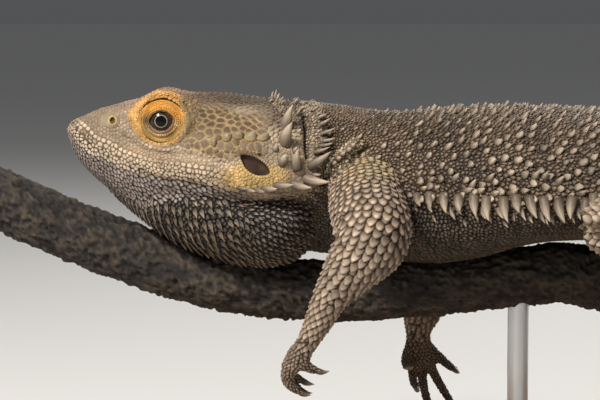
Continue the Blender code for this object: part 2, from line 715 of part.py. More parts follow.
def build_foot(side, cutters):
    """Sole against the branch's flank, five toes round its underside, a claw on each toe."""
    sign, shift = SIDES[side], FOOT_SHIFT[side]
    heel = np.array((SHANK[-1][0] + shift, sign * SHANK[-1][1], SHANK[-1][2]))
    ball_x = heel[0] - 9.0
    sole_end = wrap_points(ball_x, 0.0, SOLE_ANGLE - 18, SOLE_ANGLE, sign, 2.9)[0]
    middle = (heel + sole_end) / 2 + (0, sign * 0.8, 0)
    rings = round_tube([heel, middle, sole_end], (3.7, 3.6, 3.0), 8, 3, (0, 0, 1), 0.85)
    foot = loft(f"foot_{side}", rings, "limb")
    for number, (offset, run, end_angle) in enumerate(TOES, 1):
        start_x = ball_x - 2.5 + offset * 0.55
        path = wrap_points(start_x, run * 0.8, SOLE_ANGLE - 22, end_angle, sign,
                           TOE_RADII[0] + GAP + 0.25)
        tube = loft(f"toe_{side}_{number}",
                    round_tube(path, np.linspace(*TOE_RADII, 4), DIGIT_SIDES, 4, (1, 0, 0),
                               nose=(55,)))
        combine(foot, tube, "UNION")
        end_way = unit(path[-1] - path[-2])
        tip = path[-1] + end_way * TOE_RADII[1]
        inwards = branch_at(path[-1][0]) - path[-1]
        claw(f"claw_foot_{side}_{number}", tip, end_way, inwards, 1.7, 0.7)
    for cutter in cutters:
        combine(foot, cutter, "DIFFERENCE")
    settle(foot)


def build_limbs(body_cut, branch_cut):
    for side, sign in SIDES.items():
        shoulder = limb_piece(f"upper_arm_{side}", UPPER_ARM[side], sign, "limb", [body_cut],
                              (1, 0, 0))
        elbow = limb_piece(f"forearm_{side}", FOREARM[side], sign, "limb", [shoulder],
                           (1, 0, 0))
        build_hand(side, elbow)
        shift = (FOOT_SHIFT[side], 0, 0, 0)
        thigh = tuple(tuple(np.add(joint, shift)) for joint in THIGH)
        shank = tuple(tuple(np.add(joint, shift)) for joint in SHANK)
        hip = limb_piece(f"thigh_{side}", thigh, sign, "limb", [body_cut], (0, 0, 1), 5, 0.88)
        knee = limb_piece(f"shank_{side}", shank, sign, "limb", [hip, body_cut, branch_cut],
                          (0, 0, 1))
        build_foot(side, [knee, branch_cut])


# --- branch and stand -------------------------------------------------------------------------
def branch_rings(extra=0.0, sides=12, runs=17):
    """The branch: a round section whose radius waves a little along it and around it."""
    at = np.linspace(BRANCH_PATH[0, 0], BRANCH_PATH[-1, 0], runs)
    centres = smooth(BRANCH_PATH[:, 0], BRANCH_PATH, at)
    _, side, up = frames(centres, (0, 0, 1))
    angle = 2 * math.pi * np.arange(sides) / sides
    rings = []
    for k, x in enumerate(at):
        wave = 0.018 * np.sin(3 * angle + x / 11) + 0.014 * math.sin(x / 17)
        radius = BRANCH_RADIUS * (1 + wave) + extra
        rings.append(centres[k] + side[k] * (radius * np.cos(angle))[:, None]
                     + up[k] * (radius * np.sin(angle))[:, None])
    return rings


def build_stand(branch_cut):
    length, width, height = BASE_SIZE
    base = primitive("stand_base", bmesh.ops.create_cube, (0, 0, height / 2), BASE_SIZE, "wood",
                     size=1.0)
    edge = base.modifiers.new("soft_edge", "BEVEL")
    edge.width = 1.5 * MM
    edge.segments = 1
    for name, x in zip(("stand_rod_front", "stand_rod_rear"), ROD_X, strict=True):
        top = branch_at(x)[2]
        foot = height + GAP
        rod = primitive(name, bmesh.ops.create_cone, (x, branch_at(x)[1], (foot + top) / 2),
                        (ROD_RADIUS, ROD_RADIUS, top - foot), "steel", cap_ends=True,
                        segments=14, radius1=1.0, radius2=1.0, depth=1.0)
        combine(rod, branch_cut, "DIFFERENCE")
        settle(rod)


loft("perch_branch", branch_rings(), "bark")
BRANCH_CUT = loft("branch_cut", branch_rings(GAP))
BODY_CUT = loft("body_cut", body_rings(np.linspace(HEAD_END_X - GAP, 112.0, 34), GAP))
HEAD_CUT = loft("head_cut", head_rings(GAP))

HEAD, JAW = build_head()
combine(HEAD, BRANCH_CUT, "DIFFERENCE")
settle(HEAD)
combine(JAW, BRANCH_CUT, "DIFFERENCE")
settle(JAW)
build_beard([HEAD_CUT, BODY_CUT, BRANCH_CUT])
build_body(BRANCH_CUT)
build_limbs(BODY_CUT, BRANCH_CUT)
build_stand(BRANCH_CUT)
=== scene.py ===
# %% [markdown]
# # A bearded dragon resting on a branch
#
# The CAD solids give the animal's true size, pose and outline. This lesson dresses them: one
# skin over all the flesh, some thirty thousand modelled scales, spines, lids, wet eyes, claws,
# rough bark and a plain stand. The scales are mesh, not a bump texture, because the animal's
# outline against the light is made of them, and because the exported model keeps only mesh.
# The first cell loads the imported solids.

# %% Tools and the imported solids
import math

import bpy
import numpy as np
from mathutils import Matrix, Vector
from mathutils.bvhtree import BVHTree
from mathutils.kdtree import KDTree


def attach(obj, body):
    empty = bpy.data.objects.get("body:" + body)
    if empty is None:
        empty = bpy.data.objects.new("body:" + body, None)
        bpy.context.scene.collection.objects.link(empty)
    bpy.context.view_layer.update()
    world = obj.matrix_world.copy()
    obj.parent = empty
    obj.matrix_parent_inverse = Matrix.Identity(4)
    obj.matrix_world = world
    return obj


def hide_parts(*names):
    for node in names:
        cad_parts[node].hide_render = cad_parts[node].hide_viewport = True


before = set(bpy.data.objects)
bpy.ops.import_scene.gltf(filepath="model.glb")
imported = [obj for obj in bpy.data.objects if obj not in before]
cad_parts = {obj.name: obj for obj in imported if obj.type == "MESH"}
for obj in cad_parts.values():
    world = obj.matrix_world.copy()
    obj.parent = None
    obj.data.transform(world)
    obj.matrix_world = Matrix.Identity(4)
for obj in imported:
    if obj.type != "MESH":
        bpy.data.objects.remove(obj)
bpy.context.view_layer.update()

MM = 0.001  # tables are in millimetres, meshes in metres
SIDES = {"left": -1, "right": 1}

# %% [markdown]
# ## Camera
#
# The animal is seen from its left side, a little from above, from about half a metre. A long
# lens at that distance keeps the snout and the near arm in proportion. The camera is made first,
# so that every later step can be looked at through it.

# %% Camera
CAMERA_TARGET = Vector((-70.09, 0.0, 72.0)) * MM
CAMERA_DISTANCE = 0.5
CAMERA_ELEVATION = math.radians(5.0)
FIELD_WIDTH = 0.14256  # metres across the picture at the target

camera_data = bpy.data.cameras.new("camera")
camera_data.sensor_width = 36.0
camera_data.lens = 36.0 * CAMERA_DISTANCE / FIELD_WIDTH
camera = bpy.data.objects.new("camera", camera_data)
back = Vector((0.0, -math.cos(CAMERA_ELEVATION), math.sin(CAMERA_ELEVATION)))
camera.location = CAMERA_TARGET + back * CAMERA_DISTANCE
camera.rotation_euler = (-back).to_track_quat("-Z", "Y").to_euler()
bpy.context.scene.collection.objects.link(camera)
bpy.context.scene.camera = camera
print("lens", round(camera_data.lens, 1), "mm")

# %% [markdown]
# ## Small helpers
#
# Meshes go in as whole arrays: foreach_set copies a numpy array into a mesh at once, which is
# hundreds of times quicker than adding vertices one by one. Each vertex may carry a colour, and
# each piece its own map for baking.

# %% Meshes from arrays
def array_mesh(name, points, faces, colours=None, uv=None):
    """A mesh from points in millimetres and equal-sided faces; uv is one pair per face corner."""
    points, faces = np.asarray(points, float), np.asarray(faces, np.int32)
    count, corners = faces.shape
    mesh = bpy.data.meshes.new(name)
    mesh.vertices.add(len(points))
    mesh.vertices.foreach_set("co", (points * MM).astype(np.float32).ravel())
    mesh.loops.add(count * corners)
    mesh.loops.foreach_set("vertex_index", faces.ravel())
    mesh.polygons.add(count)
    mesh.polygons.foreach_set("loop_start", np.arange(0, count * corners, corners, np.int32))
    mesh.update(calc_edges=True)
    mesh.shade_smooth()
    if colours is not None:
        layer = mesh.color_attributes.new("Colour", "FLOAT_COLOR", "POINT")
        rgba = np.column_stack([colours, np.ones(len(points))]).astype(np.float32)
        layer.data.foreach_set("color", rgba.ravel())
    if uv is not None:
        layer = mesh.uv_layers.new(name="OFBake")
        layer.uv.foreach_set("vector", np.asarray(uv, np.float32).ravel())
    return mesh


def dress(mesh, material, replaces=()):
    """Shows a finished mesh as a piece of the animal or its stand, in place of these solids."""
    item = bpy.data.objects.new(mesh.name, mesh)
    bpy.context.scene.collection.objects.link(item)
    mesh.materials.append(material)
    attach(item, "root")
    if replaces:
        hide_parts(*replaces)
    return item


def reworked(points, faces, kind, **settings):
    """What one modifier makes of a mesh: its new points in millimetres and its triangles."""
    item = bpy.data.objects.new("flesh", array_mesh("flesh", points, faces))
    bpy.context.scene.collection.objects.link(item)
    modifier = item.modifiers.new("rework", kind)
    for name, value in settings.items():
        setattr(modifier, name, value)
    graph = bpy.context.evaluated_depsgraph_get()
    made = bpy.data.meshes.new_from_object(item.evaluated_get(graph))
    new_points = np.empty(len(made.vertices) * 3, np.float32)
    made.vertices.foreach_get("co", new_points)
    made.calc_loop_triangles()
    new_faces = np.empty(len(made.loop_triangles) * 3, np.int32)
    made.loop_triangles.foreach_get("vertices", new_faces)
    bpy.data.meshes.remove(made)
    bpy.data.meshes.remove(item.data)
    return new_points.reshape(-1, 3).astype(float) / MM, new_faces.reshape(-1, 3)


def tree_of(points, numbers=None):
    """A search tree over points, which answers with the number of each."""
    tree = KDTree(len(points))
    for number, point in zip(numbers or range(len(points)), points.tolist(), strict=True):
        tree.insert(point, number)
    tree.balance()
    return tree


# %% Curves and directions
def smooth(knots, values, at):
    """Cubic curve through the knots, whose slope at each is that of a parabola through three."""
    knots, values, at = (np.asarray(item, float) for item in (knots, values, at))
    slope = np.gradient(values, knots, axis=0)
    left = np.clip(np.searchsorted(knots, at) - 1, 0, len(knots) - 2)
    width = knots[left + 1] - knots[left]
    part = (at - knots[left]) / width
    if values.ndim == 2:
        width, part = width[:, None], part[:, None]
    rise = values[left + 1] - values[left]
    ease = part * part * (3 - 2 * part)
    start = part * (1 - part) ** 2 * width * slope[left]
    finish = part * part * (part - 1) * width * slope[left + 1]
    return values[left] + ease * rise + start + finish


def unit(vectors):
    """The same directions, each of length 1."""
    length = np.linalg.norm(vectors, axis=-1, keepdims=True)
    return vectors / np.maximum(length, 1e-9)


def step(low, high, value):
    """A soft step from 0 at low to 1 at high: 3t^2 - 2t^3."""
    part = np.clip((value - low) / (high - low), 0, 1)
    return part * part * (3 - 2 * part)


def noise(points, size, seed=0):
    """A smooth random field from 0 to 1: random numbers on a cubic lattice, blended between."""
    place = np.asarray(points, float) / size + seed * 17.31
    cell = np.floor(place).astype(np.int64)
    part = place - cell
    part = part * part * (3 - 2 * part)
    total = 0.0
    for corner in np.ndindex(2, 2, 2):
        at = cell + corner
        mixed = at[..., 0] * 73856093 ^ at[..., 1] * 19349663 ^ at[..., 2] * 83492791
        mixed = ((mixed ^ (mixed >> 13)) * 1274126177) & 0xFFFFFFFF
        value = ((mixed ^ (mixed >> 16)) & 0xFFFF) / 65535.0
        total = total + value * np.prod(np.where(corner, part, 1 - part), axis=-1)
    return total


RANDOM = np.random.default_rng(7)
print("half way up a step from 0 to 1:", step(0, 1, 0.5))

# %% [markdown]
# ## The flesh, as closed hulls
#
# Each part of the body is a run of rings carried along a line, as a boat's hull is drawn from
# its frames. The tables are the ones that the solids are made from, so the skin follows them;
# the rings here are only finer, and smaller by the depth of the scales.

# %% Section shapes
COAT = 0.45  # how far the skin lies inside the solids' outline


def oval(angle, power_up=2.0, power_down=2.0, taper=0.0):
    """Across and rise of a superellipse at each angle; taper draws its roof in."""
    cosine, sine = np.cos(angle), np.sin(angle)
    power = np.where(sine >= 0, power_up, power_down)
    across = np.sign(cosine) * np.abs(cosine) ** (2 / power)
    rise = np.sign(sine) * np.abs(sine) ** (2 / power)
    return across * (1 - np.where(sine > 0, taper, 0.0) * rise**2), rise


def around(count):
    """Equal angles round a circle."""
    return 2 * math.pi * np.arange(count) / count


def nosed(rings, depth=0.7, lengths=(0.35, 0.75, 0.97)):
    """Closes both ends of a run of rings with rings that shrink onto a point, as a dome does."""
    ends = []
    for first, second in ((0, 1), (-1, -2)):
        middle = rings[first].mean(0)
        out = unit(middle - rings[second].mean(0))
        reach = np.linalg.norm(rings[first] - middle, axis=1).mean() * depth
        ends.append([
            middle + (rings[first] - middle) * math.sqrt(1 - part**2) + out * reach * part
            for part in lengths
        ])
    return np.concatenate([ends[0][::-1], rings, ends[1]])


# %% Head
# x, top, widest level, bottom, half width, how much the roof draws in
HEAD_TABLE = np.array([
    (-124.8, 90.1, 88.4, 86.8, 2.0, 0.10), (-124.0, 91.2, 88.2, 84.5, 4.3, 0.12),
    (-122.3, 91.9, 87.6, 81.4, 6.4, 0.18), (-119.0, 93.5, 87.2, 77.6, 8.3, 0.24),
    (-114.0, 95.0, 87.0, 73.4, 10.6, 0.30), (-108.5, 96.5, 86.4, 70.2, 13.3, 0.32),
    (-102.0, 98.0, 85.4, 69.2, 16.5, 0.31), (-95.0, 98.1, 84.0, 69.5, 19.2, 0.34),
    (-88.0, 97.9, 82.4, 70.2, 21.2, 0.38), (-80.0, 96.7, 81.0, 71.0, 22.6, 0.42),
    (-74.0, 96.1, 80.2, 71.5, 22.0, 0.42), (-68.6, 95.6, 79.6, 72.0, 19.6, 0.40),
])
# Soft swellings and hollows of the left side: centre, reach, push (y is mirrored on the right)
SWELLINGS = (
    ((-104.0, -9.5, 97.3), (6.2, 4.0, 4.4), (0.0, -0.9, 3.0)),  # brow
    ((-102.0, -15.0, 91.4), (5.0, 4.0, 4.6), (0.0, -0.6, 0.0)),  # round the eye
    ((-113.6, -9.0, 91.6), (3.0, 3.0, 3.0), (0.0, -0.7, 0.3)),  # nose
    ((-109.0, -11.5, 89.0), (3.2, 4.0, 2.6), (0.0, 0.8, 0.0)),  # hollow before the eye
    ((-91.0, -16.0, 93.0), (5.0, 4.0, 2.6), (0.0, 0.7, -0.2)),  # hollow behind the brow
    ((-77.0, -20.0, 86.5), (5.5, 4.0, 2.8), (0.0, -0.6, 0.3)),  # temple
    ((-90.0, -19.5, 80.0), (9.0, 4.0, 1.8), (0.0, -0.5, 0.0)),  # lip behind the eye
    ((-100.0, 0.0, 99.0), (9.0, 4.5, 4.0), (0.0, 0.0, -0.7)),  # dip between the brows
)


def swell(points, centre, reach, push):
    """Moves points by push, fading with distance from centre as a bell curve does."""
    away = (points - np.asarray(centre)) / np.asarray(reach)
    return points + np.exp(-np.sum(away**2, axis=-1))[..., None] * np.asarray(push)


def head_rings(at, count):
    """Upright superellipses along the head, then the swellings of its left and right sides."""
    x, top, level, bottom, half, taper = smooth(HEAD_TABLE[:, 0], HEAD_TABLE, at).T[:, :, None]
    angle = around(count)[None, :]
    across, rise = oval(angle, 3.0, 2.4, taper)
    height = np.where(rise > 0, top - level - COAT, level - bottom - COAT) * rise
    rings = np.stack(np.broadcast_arrays(x, (half - COAT) * across, level + height), axis=-1)
    for centre, reach, push in SWELLINGS:
        for mirror in ((1, 1, 1), (1, -1, 1)):
            rings = swell(rings, np.multiply(centre, mirror), reach, np.multiply(push, mirror))
    return rings


# %% Beard: the pouch under the jaw
# x, height of the widest level, bottom, half width
BEARD_TABLE = np.array([
    (-115.0, 76.2, 73.4, 3.2), (-109.0, 73.8, 68.4, 8.6), (-102.0, 72.0, 63.5, 13.5),
    (-94.0, 70.5, 59.6, 17.3), (-85.0, 69.4, 56.8, 19.4), (-76.0, 69.0, 56.1, 19.6),
    (-70.5, 69.2, 58.2, 17.6), (-66.8, 69.6, 62.4, 13.0), (-64.8, 70.0, 67.4, 5.5),
])


def beard_rings(at, count):
    """Upright ovals whose roof is hidden in the jaw above them."""
    x, level, bottom, half = smooth(BEARD_TABLE[:, 0], BEARD_TABLE, at).T[:, :, None]
    across, rise = oval(around(count)[None, :], 2.2, 2.1)
    height = np.where(rise > 0, 6.0, level - bottom - COAT) * rise
    return np.stack(np.broadcast_arrays(x, (half - COAT) * across, level + height), axis=-1)


# %% Neck, trunk, hips and tail
# x, y, widest level, half width, height above it, depth below it
BODY_TABLE = np.array([
    (-74.0, 0.0, 83.0, 15.8, 12.5, 16.5), (-69.0, 0.0, 81.5, 16.4, 14.0, 20.8),
    (-62.0, 0.0, 79.0, 16.8, 15.9, 19.9), (-54.0, 0.0, 76.5, 18.6, 17.1, 18.2),
    (-46.0, 0.0, 75.0, 22.0, 18.0, 17.5), (-38.0, 0.0, 74.5, 25.8, 19.0, 17.3),
    (-28.0, 0.0, 74.4, 29.2, 19.8, 15.7), (-17.0, 0.0, 74.2, 31.0, 20.1, 12.3),
    (-5.0, 0.0, 74.0, 31.6, 19.9, 11.0), (8.0, 0.0, 73.2, 30.3, 19.4, 11.0),
    (20.0, 0.0, 71.5, 27.0, 18.8, 11.0), (32.0, 0.0, 69.3, 22.6, 17.2, 10.9),
    (45.0, 0.0, 67.3, 18.6, 14.6, 10.3), (58.0, 0.0, 65.9, 15.6, 12.0, 9.5),
    (74.0, 0.0, 65.0, 13.0, 9.8, 8.7), (90.0, 0.0, 64.2, 11.2, 8.5, 7.9),
    (108.0, 0.0, 62.0, 9.6, 7.6, 7.1), (132.0, -0.5, 55.5, 7.9, 6.6, 6.2),
    (162.0, -2.0, 45.5, 6.3, 5.5, 5.2), (195.0, -5.0, 35.5, 4.9, 4.4, 4.2),
    (228.0, -10.0, 27.5, 3.7, 3.3, 3.2), (258.0, -17.0, 22.5, 2.6, 2.3, 2.3),
    (282.0, -25.0, 20.0, 1.7, 1.6, 1.6), (301.0, -34.0, 19.0, 0.8, 0.8, 0.8),
])
TAIL_TURN_X = (85.0, 130.0)  # where the rings turn from upright to square with the tail


def body_rings(at, count):
    """Ovals carried along the centreline: upright in the trunk, square to the tail behind it."""
    knots = BODY_TABLE[:, 0]
    centres = smooth(knots, BODY_TABLE[:, :3], at)
    ahead = smooth(knots, BODY_TABLE[:, :3], np.asarray(at) + 0.5)
    turned = np.clip((at - TAIL_TURN_X[0]) / np.ptp(TAIL_TURN_X), 0, 1)[:, None]
    tangent = unit((1 - turned) * (1, 0, 0) + turned * unit(ahead - centres))
    side = unit(np.cross((0, 0, 1), tangent))[:, None]
    up = np.cross(tangent[:, None], side)
    half, above, below = (smooth(knots, BODY_TABLE[:, 3:], at) - COAT).clip(0.35).T[:, :, None]
    across, rise = oval(around(count)[None, :], 2.3, 2.3)
    height = np.where(rise > 0, above, below) * rise
    return centres[:, None] + side * (half * across)[..., None] + up * height[..., None]


# %% [markdown]
# ## Limbs, hands and feet
#
# A limb is a tube along its joints. A digit starts at the knuckles and turns a little more at
# each joint; the toes run round the branch, because the hind feet hold it.

# %% Limb tables
# x, y outwards, z and radius of each joint, for the near (left) and far (right) side
ARMS = {
    "left": ((-55.0, 9.0, 77.0, 9.0), (-54.6, 22.0, 72.8, 9.0), (-54.6, 33.0, 65.4, 8.2),
             (-59.8, 36.5, 58.6, 5.7), (-63.6, 37.0, 53.2, 4.0),
             (-65.8, 36.8, 48.6, 3.4), (-68.6, 36.0, 43.2, 2.9)),
    "right": ((-54.0, 9.0, 77.0, 9.0), (-48.5, 21.0, 71.5, 8.9), (-42.5, 31.5, 62.0, 7.7),
              (-39.2, 34.0, 53.5, 7.3), (-38.4, 34.0, 45.0, 6.4), (-40.0, 33.0, 36.0, 3.8)),
}
LEG = ((34.0, 8.0, 72.0, 9.8), (20.0, 20.0, 72.5, 9.8), (5.0, 29.8, 71.0, 8.6),
       (-1.5, 33.0, 70.0, 7.6), (2.5, 30.0, 67.0, 7.6), (9.0, 25.5, 63.5, 7.2),
       (20.0, 17.8, 55.5, 4.9), (25.0, 14.6, 52.0, 4.0))
PALM = {
    "left": ((-68.4, -36.0, 43.4), (-72.2, -35.0, 37.9), (-0.78, -0.35, 0.52)),
    "right": ((-40.2, 33.0, 35.2), (-39.6, 33.0, 28.6), (-0.25, 0.96, 0.0)),
}
PALM_HALF = (3.5, 2.3)  # across, thick
# place across the palm, spread, first bend, bend at each joint, length; outer to inner digit
HAND_DIGITS = {
    "left": ((0.95, 4, 82, 8, 4.4), (0.45, 0, 2, 40, 8.0), (0.0, -12, 8, 40, 9.0),
             (-0.5, -26, 16, 36, 8.5), (-0.95, -44, 30, 30, 6.5)),
    "right": ((0.95, 40, 4, 24, 9.0), (0.5, 20, 2, 16, 14.5), (0.0, 0, 6, 14, 14.0),
              (-0.5, -16, 12, 26, 10.5), (-0.95, -34, 24, 30, 8.0)),
}
DIGIT_RADII = (1.55, 1.15)
FOOT_SHIFT = {"left": 0.0, "right": 9.0}  # the right foot grips a little further back
# start along the branch, run along it and angle reached round it, from its underside
TOES = ((0.0, -11.0, 34), (1.8, -5.5, 14), (4.2, -0.5, 6), (7.0, 4.0, 16), (10.5, 8.5, 40))
SOLE_ANGLE = 92.0
TOE_RADII = (1.7, 1.15)
BRANCH_RADIUS = 7.15
BRANCH_PATH = np.array([
    (-152.0, 1.0, 76.5), (-141.0, 0.5, 72.0), (-118.0, 0.0, 62.2), (-94.0, 0.0, 54.0),
    (-70.0, 0.0, 50.6), (-42.0, 0.0, 51.2), (-20.0, 0.0, 53.4), (-7.0, 0.0, 54.6),
    (4.0, 0.0, 52.4), (22.0, 0.0, 49.8), (50.0, 0.0, 49.0), (80.0, 0.5, 49.3),
    (110.0, 1.0, 48.4),
])


def tube(points, radii, runs, count, reference, flat=1.0):
    """Circles square to a smooth path, thinned one way by flat, their radius eased along it."""
    points, radii = np.asarray(points, float), np.asarray(radii, float)
    along = np.concatenate([[0], np.cumsum(np.linalg.norm(np.diff(points, axis=0), axis=1))])
    at = np.linspace(0, along[-1], runs)
    centres = smooth(along, points, at)
    size = smooth(along, radii, at)[:, None, None]
    tangent = unit(np.gradient(centres, axis=0))
    side = unit(np.cross(reference, tangent))[:, None]
    up = np.cross(tangent[:, None], side)
    angle = around(count)[None, :, None]
    return centres[:, None] + size * (side * np.cos(angle) + up * flat * np.sin(angle))


def branch_at(x):
    """The branch's middle line at each x."""
    return smooth(BRANCH_PATH[:, 0], BRANCH_PATH, np.atleast_1d(np.asarray(x, float)))


# %% Paths of the digits
def digit_path(start, way, curl_axis, first, bend, length):
    """Four points of a digit that turns about curl_axis by first, then by bend at each joint."""
    points = [np.asarray(start, float)]
    toward = np.cross(curl_axis, way)
    for k in range(3):
        angle = math.radians(first + bend * k)
        points.append(points[-1] + length / 3 * (math.cos(angle) * way + math.sin(angle) * toward))
    return np.array(points)


def hand_paths(side):
    """The palm's three points, its back, and each finger's path with the axis it curls about."""
    wrist, knuckles, back = (np.asarray(item, float) for item in PALM[side])
    along = unit(knuckles - wrist)
    across = unit(np.cross(along, back)) * SIDES[side]
    back = unit(np.cross(across, along)) * SIDES[side]
    fingers = []
    for place, spread, first, bend, length in HAND_DIGITS[side]:
        lean = math.radians(spread)
        way = math.cos(lean) * along + math.sin(lean) * across
        start = knuckles + across * place * PALM_HALF[0] * 0.75 - along * (0.8 + 2.2 * place**2)
        axis = unit(np.cross(way, -back))
        fingers.append((digit_path(start, way, axis, first, bend, length), axis))
    return [wrist, (wrist + knuckles) / 2, knuckles], back, fingers


def foot_paths(side):
    """The sole's three points, and each toe's path round the branch."""
    sign, shift = SIDES[side], FOOT_SHIFT[side]
    heel = np.array((LEG[-1][0] + shift, sign * LEG[-1][1], LEG[-1][2]))

    def wrap(start_x, run, start_angle, end_angle, clear):
        """Four points at equal steps along and round the branch, clear of its bark."""
        part = np.linspace(0, 1, 4)
        angle = np.radians(start_angle + (end_angle - start_angle) * part)
        reach = BRANCH_RADIUS + clear
        out = np.stack([0 * angle, sign * reach * np.sin(angle), -reach * np.cos(angle)], 1)
        return branch_at(start_x + run * part) + out

    ball_x = heel[0] - 9.0
    sole_end = wrap(ball_x, 0.0, SOLE_ANGLE - 18, SOLE_ANGLE, 2.9)[0]
    toes = [
        wrap(ball_x - 2.5 + offset * 0.55, run * 0.8, SOLE_ANGLE - 22, end, TOE_RADII[0] + 0.55)
        for offset, run, end in TOES
    ]
    return [heel, (heel + sole_end) / 2 + (0, sign * 0.8, 0), sole_end], toes


# %% [markdown]
# ## Hulls by name
#
# Every hull is kept as a grid of points: rows run from snout to tail, or from shoulder to tip,
# and columns run round it. The same grids later give the scales their rows and their lie, and
# the bake map its flat layout.

# %% All hulls
def limb_hulls():
    """Arms, legs, hands, feet and digits of both sides, by name."""
    hulls = {}
    for side, sign in SIDES.items():
        arm = np.array(ARMS[side]) * (1, sign, 1, 1)
        hulls[f"arm_{side}"] = tube(arm[:, :3], arm[:, 3] - COAT, 60, 48, (1, 0, 0))
        leg = np.array(LEG) * (1, sign, 1, 1) + (FOOT_SHIFT[side], 0, 0, 0)
        hulls[f"leg_{side}"] = tube(leg[:, :3], leg[:, 3] - COAT, 64, 48, (0, 0, 1), 0.92)
        palm, back, fingers = hand_paths(side)
        flat = PALM_HALF[1] / PALM_HALF[0]
        hulls[f"hand_{side}"] = tube(palm, np.array((3.3, 3.5, 2.9)) - 0.3, 14, 32, back, flat)
        for number, (path, axis) in enumerate(fingers, 1):
            radii = np.linspace(*DIGIT_RADII, 4) - 0.22
            hulls[f"finger_{side}_{number}"] = tube(path, radii, 20, 20, axis)
        sole, toes = foot_paths(side)
        hulls[f"foot_{side}"] = tube(sole, np.array((3.7, 3.6, 3.0)) - 0.3, 14, 32, (0, 0, 1), 0.85)
        for number, path in enumerate(toes, 1):
            radii = np.linspace(*TOE_RADII, 4) - 0.22
            hulls[f"toe_{side}_{number}"] = tube(path, radii, 24, 20, (1, 0, 0))
    return {name: nosed(rings, 0.85) for name, rings in hulls.items()}


HULLS = {
    "head": nosed(head_rings(np.linspace(-124.8, -69.1, 96), 120), 0.35),
    "beard": nosed(beard_rings(np.linspace(-115.0, -64.8, 60), 84), 0.3),
    "body": nosed(body_rings(np.concatenate([np.linspace(-74, 60, 150),
                                             np.linspace(62, 300, 150)]), 112), 0.4),
    **limb_hulls(),
}
HULL_NAMES = list(HULLS)
HULL_KINDS = np.array([name.split("_")[0] for name in HULL_NAMES])
print(len(HULLS), "hulls,", sum(grid[..., 0].size for grid in HULLS.values()), "points")


# %% One closed mesh of all hulls
def ring_squares(runs, count):
    """The squares of a grid of rings, closed round its columns and open at its ends."""
    index = np.arange(runs * count).reshape(runs, count)
    ahead = np.roll(index, -1, axis=1)
    return np.stack([index[:-1], index[1:], ahead[1:], ahead[:-1]], -1).reshape(-1, 4)


def closed_faces(runs, count):
    """The squares cut into triangles, with each end shut by a fan to its own point."""
    walls = ring_squares(runs, count)
    first, last = np.arange(count), np.arange(count) + (runs - 1) * count
    caps = [np.stack([first, np.roll(first, -1), np.full(count, runs * count)], -1),
            np.stack([np.roll(last, -1), last, np.full(count, runs * count + 1)], -1)]
    return np.concatenate([walls[:, [0, 1, 2]], walls[:, [0, 2, 3]], *caps])


def outward(points, faces):
    """The faces turned to point out: the volume that they close in is then above zero."""
    a, b, c = points[faces[:, 0]], points[faces[:, 1]], points[faces[:, 2]]
    inside_out = np.einsum("ij,ij->", a, np.cross(b, c)) < 0
    return faces[:, ::-1] if inside_out else faces


def closed_hull(grid):
    """A grid's points with the middles of its two ends, and the faces of the closed solid."""
    points = np.vstack([grid.reshape(-1, 3), grid[0].mean(0), grid[-1].mean(0)])
    return points, outward(points, closed_faces(*grid.shape[:2]))


def joined_hulls():
    """All hulls as one set of points and faces, each still closed by itself."""
    points, faces, base = [], [], 0
    for grid in HULLS.values():
        own, walls = closed_hull(grid)
        points.append(own)
        faces.append(walls + base)
        base += len(own)
    return np.vstack(points), np.vstack(faces)


flesh_points, flesh_faces = joined_hulls()
print("flesh", len(flesh_faces), "triangles before joining")

# %% [markdown]
# ## One skin
#
# A voxel remesh fills the joined hulls with small cubes and wraps one new surface round them,
# so that arm, shoulder and neck become one skin with no seam. The surface is then relaxed: a
# little everywhere, and much more at the shoulders, hips and wrists, where real skin bridges
# the crease in a soft web.

# %% Joining the hulls
VOXEL = 0.6  # millimetres


def edges_of(faces):
    """Each edge of the faces once, as a pair of points."""
    pairs = np.sort(np.concatenate([faces[:, [0, 1]], faces[:, [1, 2]], faces[:, [2, 0]]]), 1)
    keys = np.unique(pairs[:, 0].astype(np.int64) << 32 | pairs[:, 1])
    return np.stack([keys >> 32, keys & 0xFFFFFFFF], 1)


def relaxed(points, edges, weight, rounds):
    """Moves each point by weight towards the mean of its neighbours, round after round."""
    count = np.bincount(edges.ravel(), minlength=len(points))
    ends = np.concatenate([edges, edges[:, ::-1]])
    weight = np.broadcast_to(weight, len(points))[:, None]
    for _ in range(rounds):
        total = [np.bincount(ends[:, 0], points[ends[:, 1], k], len(points)) for k in range(3)]
        points = points + weight * (np.stack(total, 1) / count[:, None] - points)
    return points


def mesh_normals(points, faces):
    """Vertex normals: the area-weighted mean of the faces round each point."""
    a, b, c = (points[faces[:, k]] for k in range(3))
    across = np.cross(b - a, c - a)
    total = [
        sum(np.bincount(faces[:, k], across[:, axis], len(points)) for k in range(3))
        for axis in range(3)
    ]
    return unit(np.stack(total, 1))


skin_points, skin_faces = reworked(flesh_points, flesh_faces, "REMESH", mode="VOXEL",
                                   voxel_size=VOXEL * MM)
skin_faces = outward(skin_points, skin_faces)
skin_edges = edges_of(skin_faces)
print("skin", len(skin_points), "points,", len(skin_faces), "triangles")

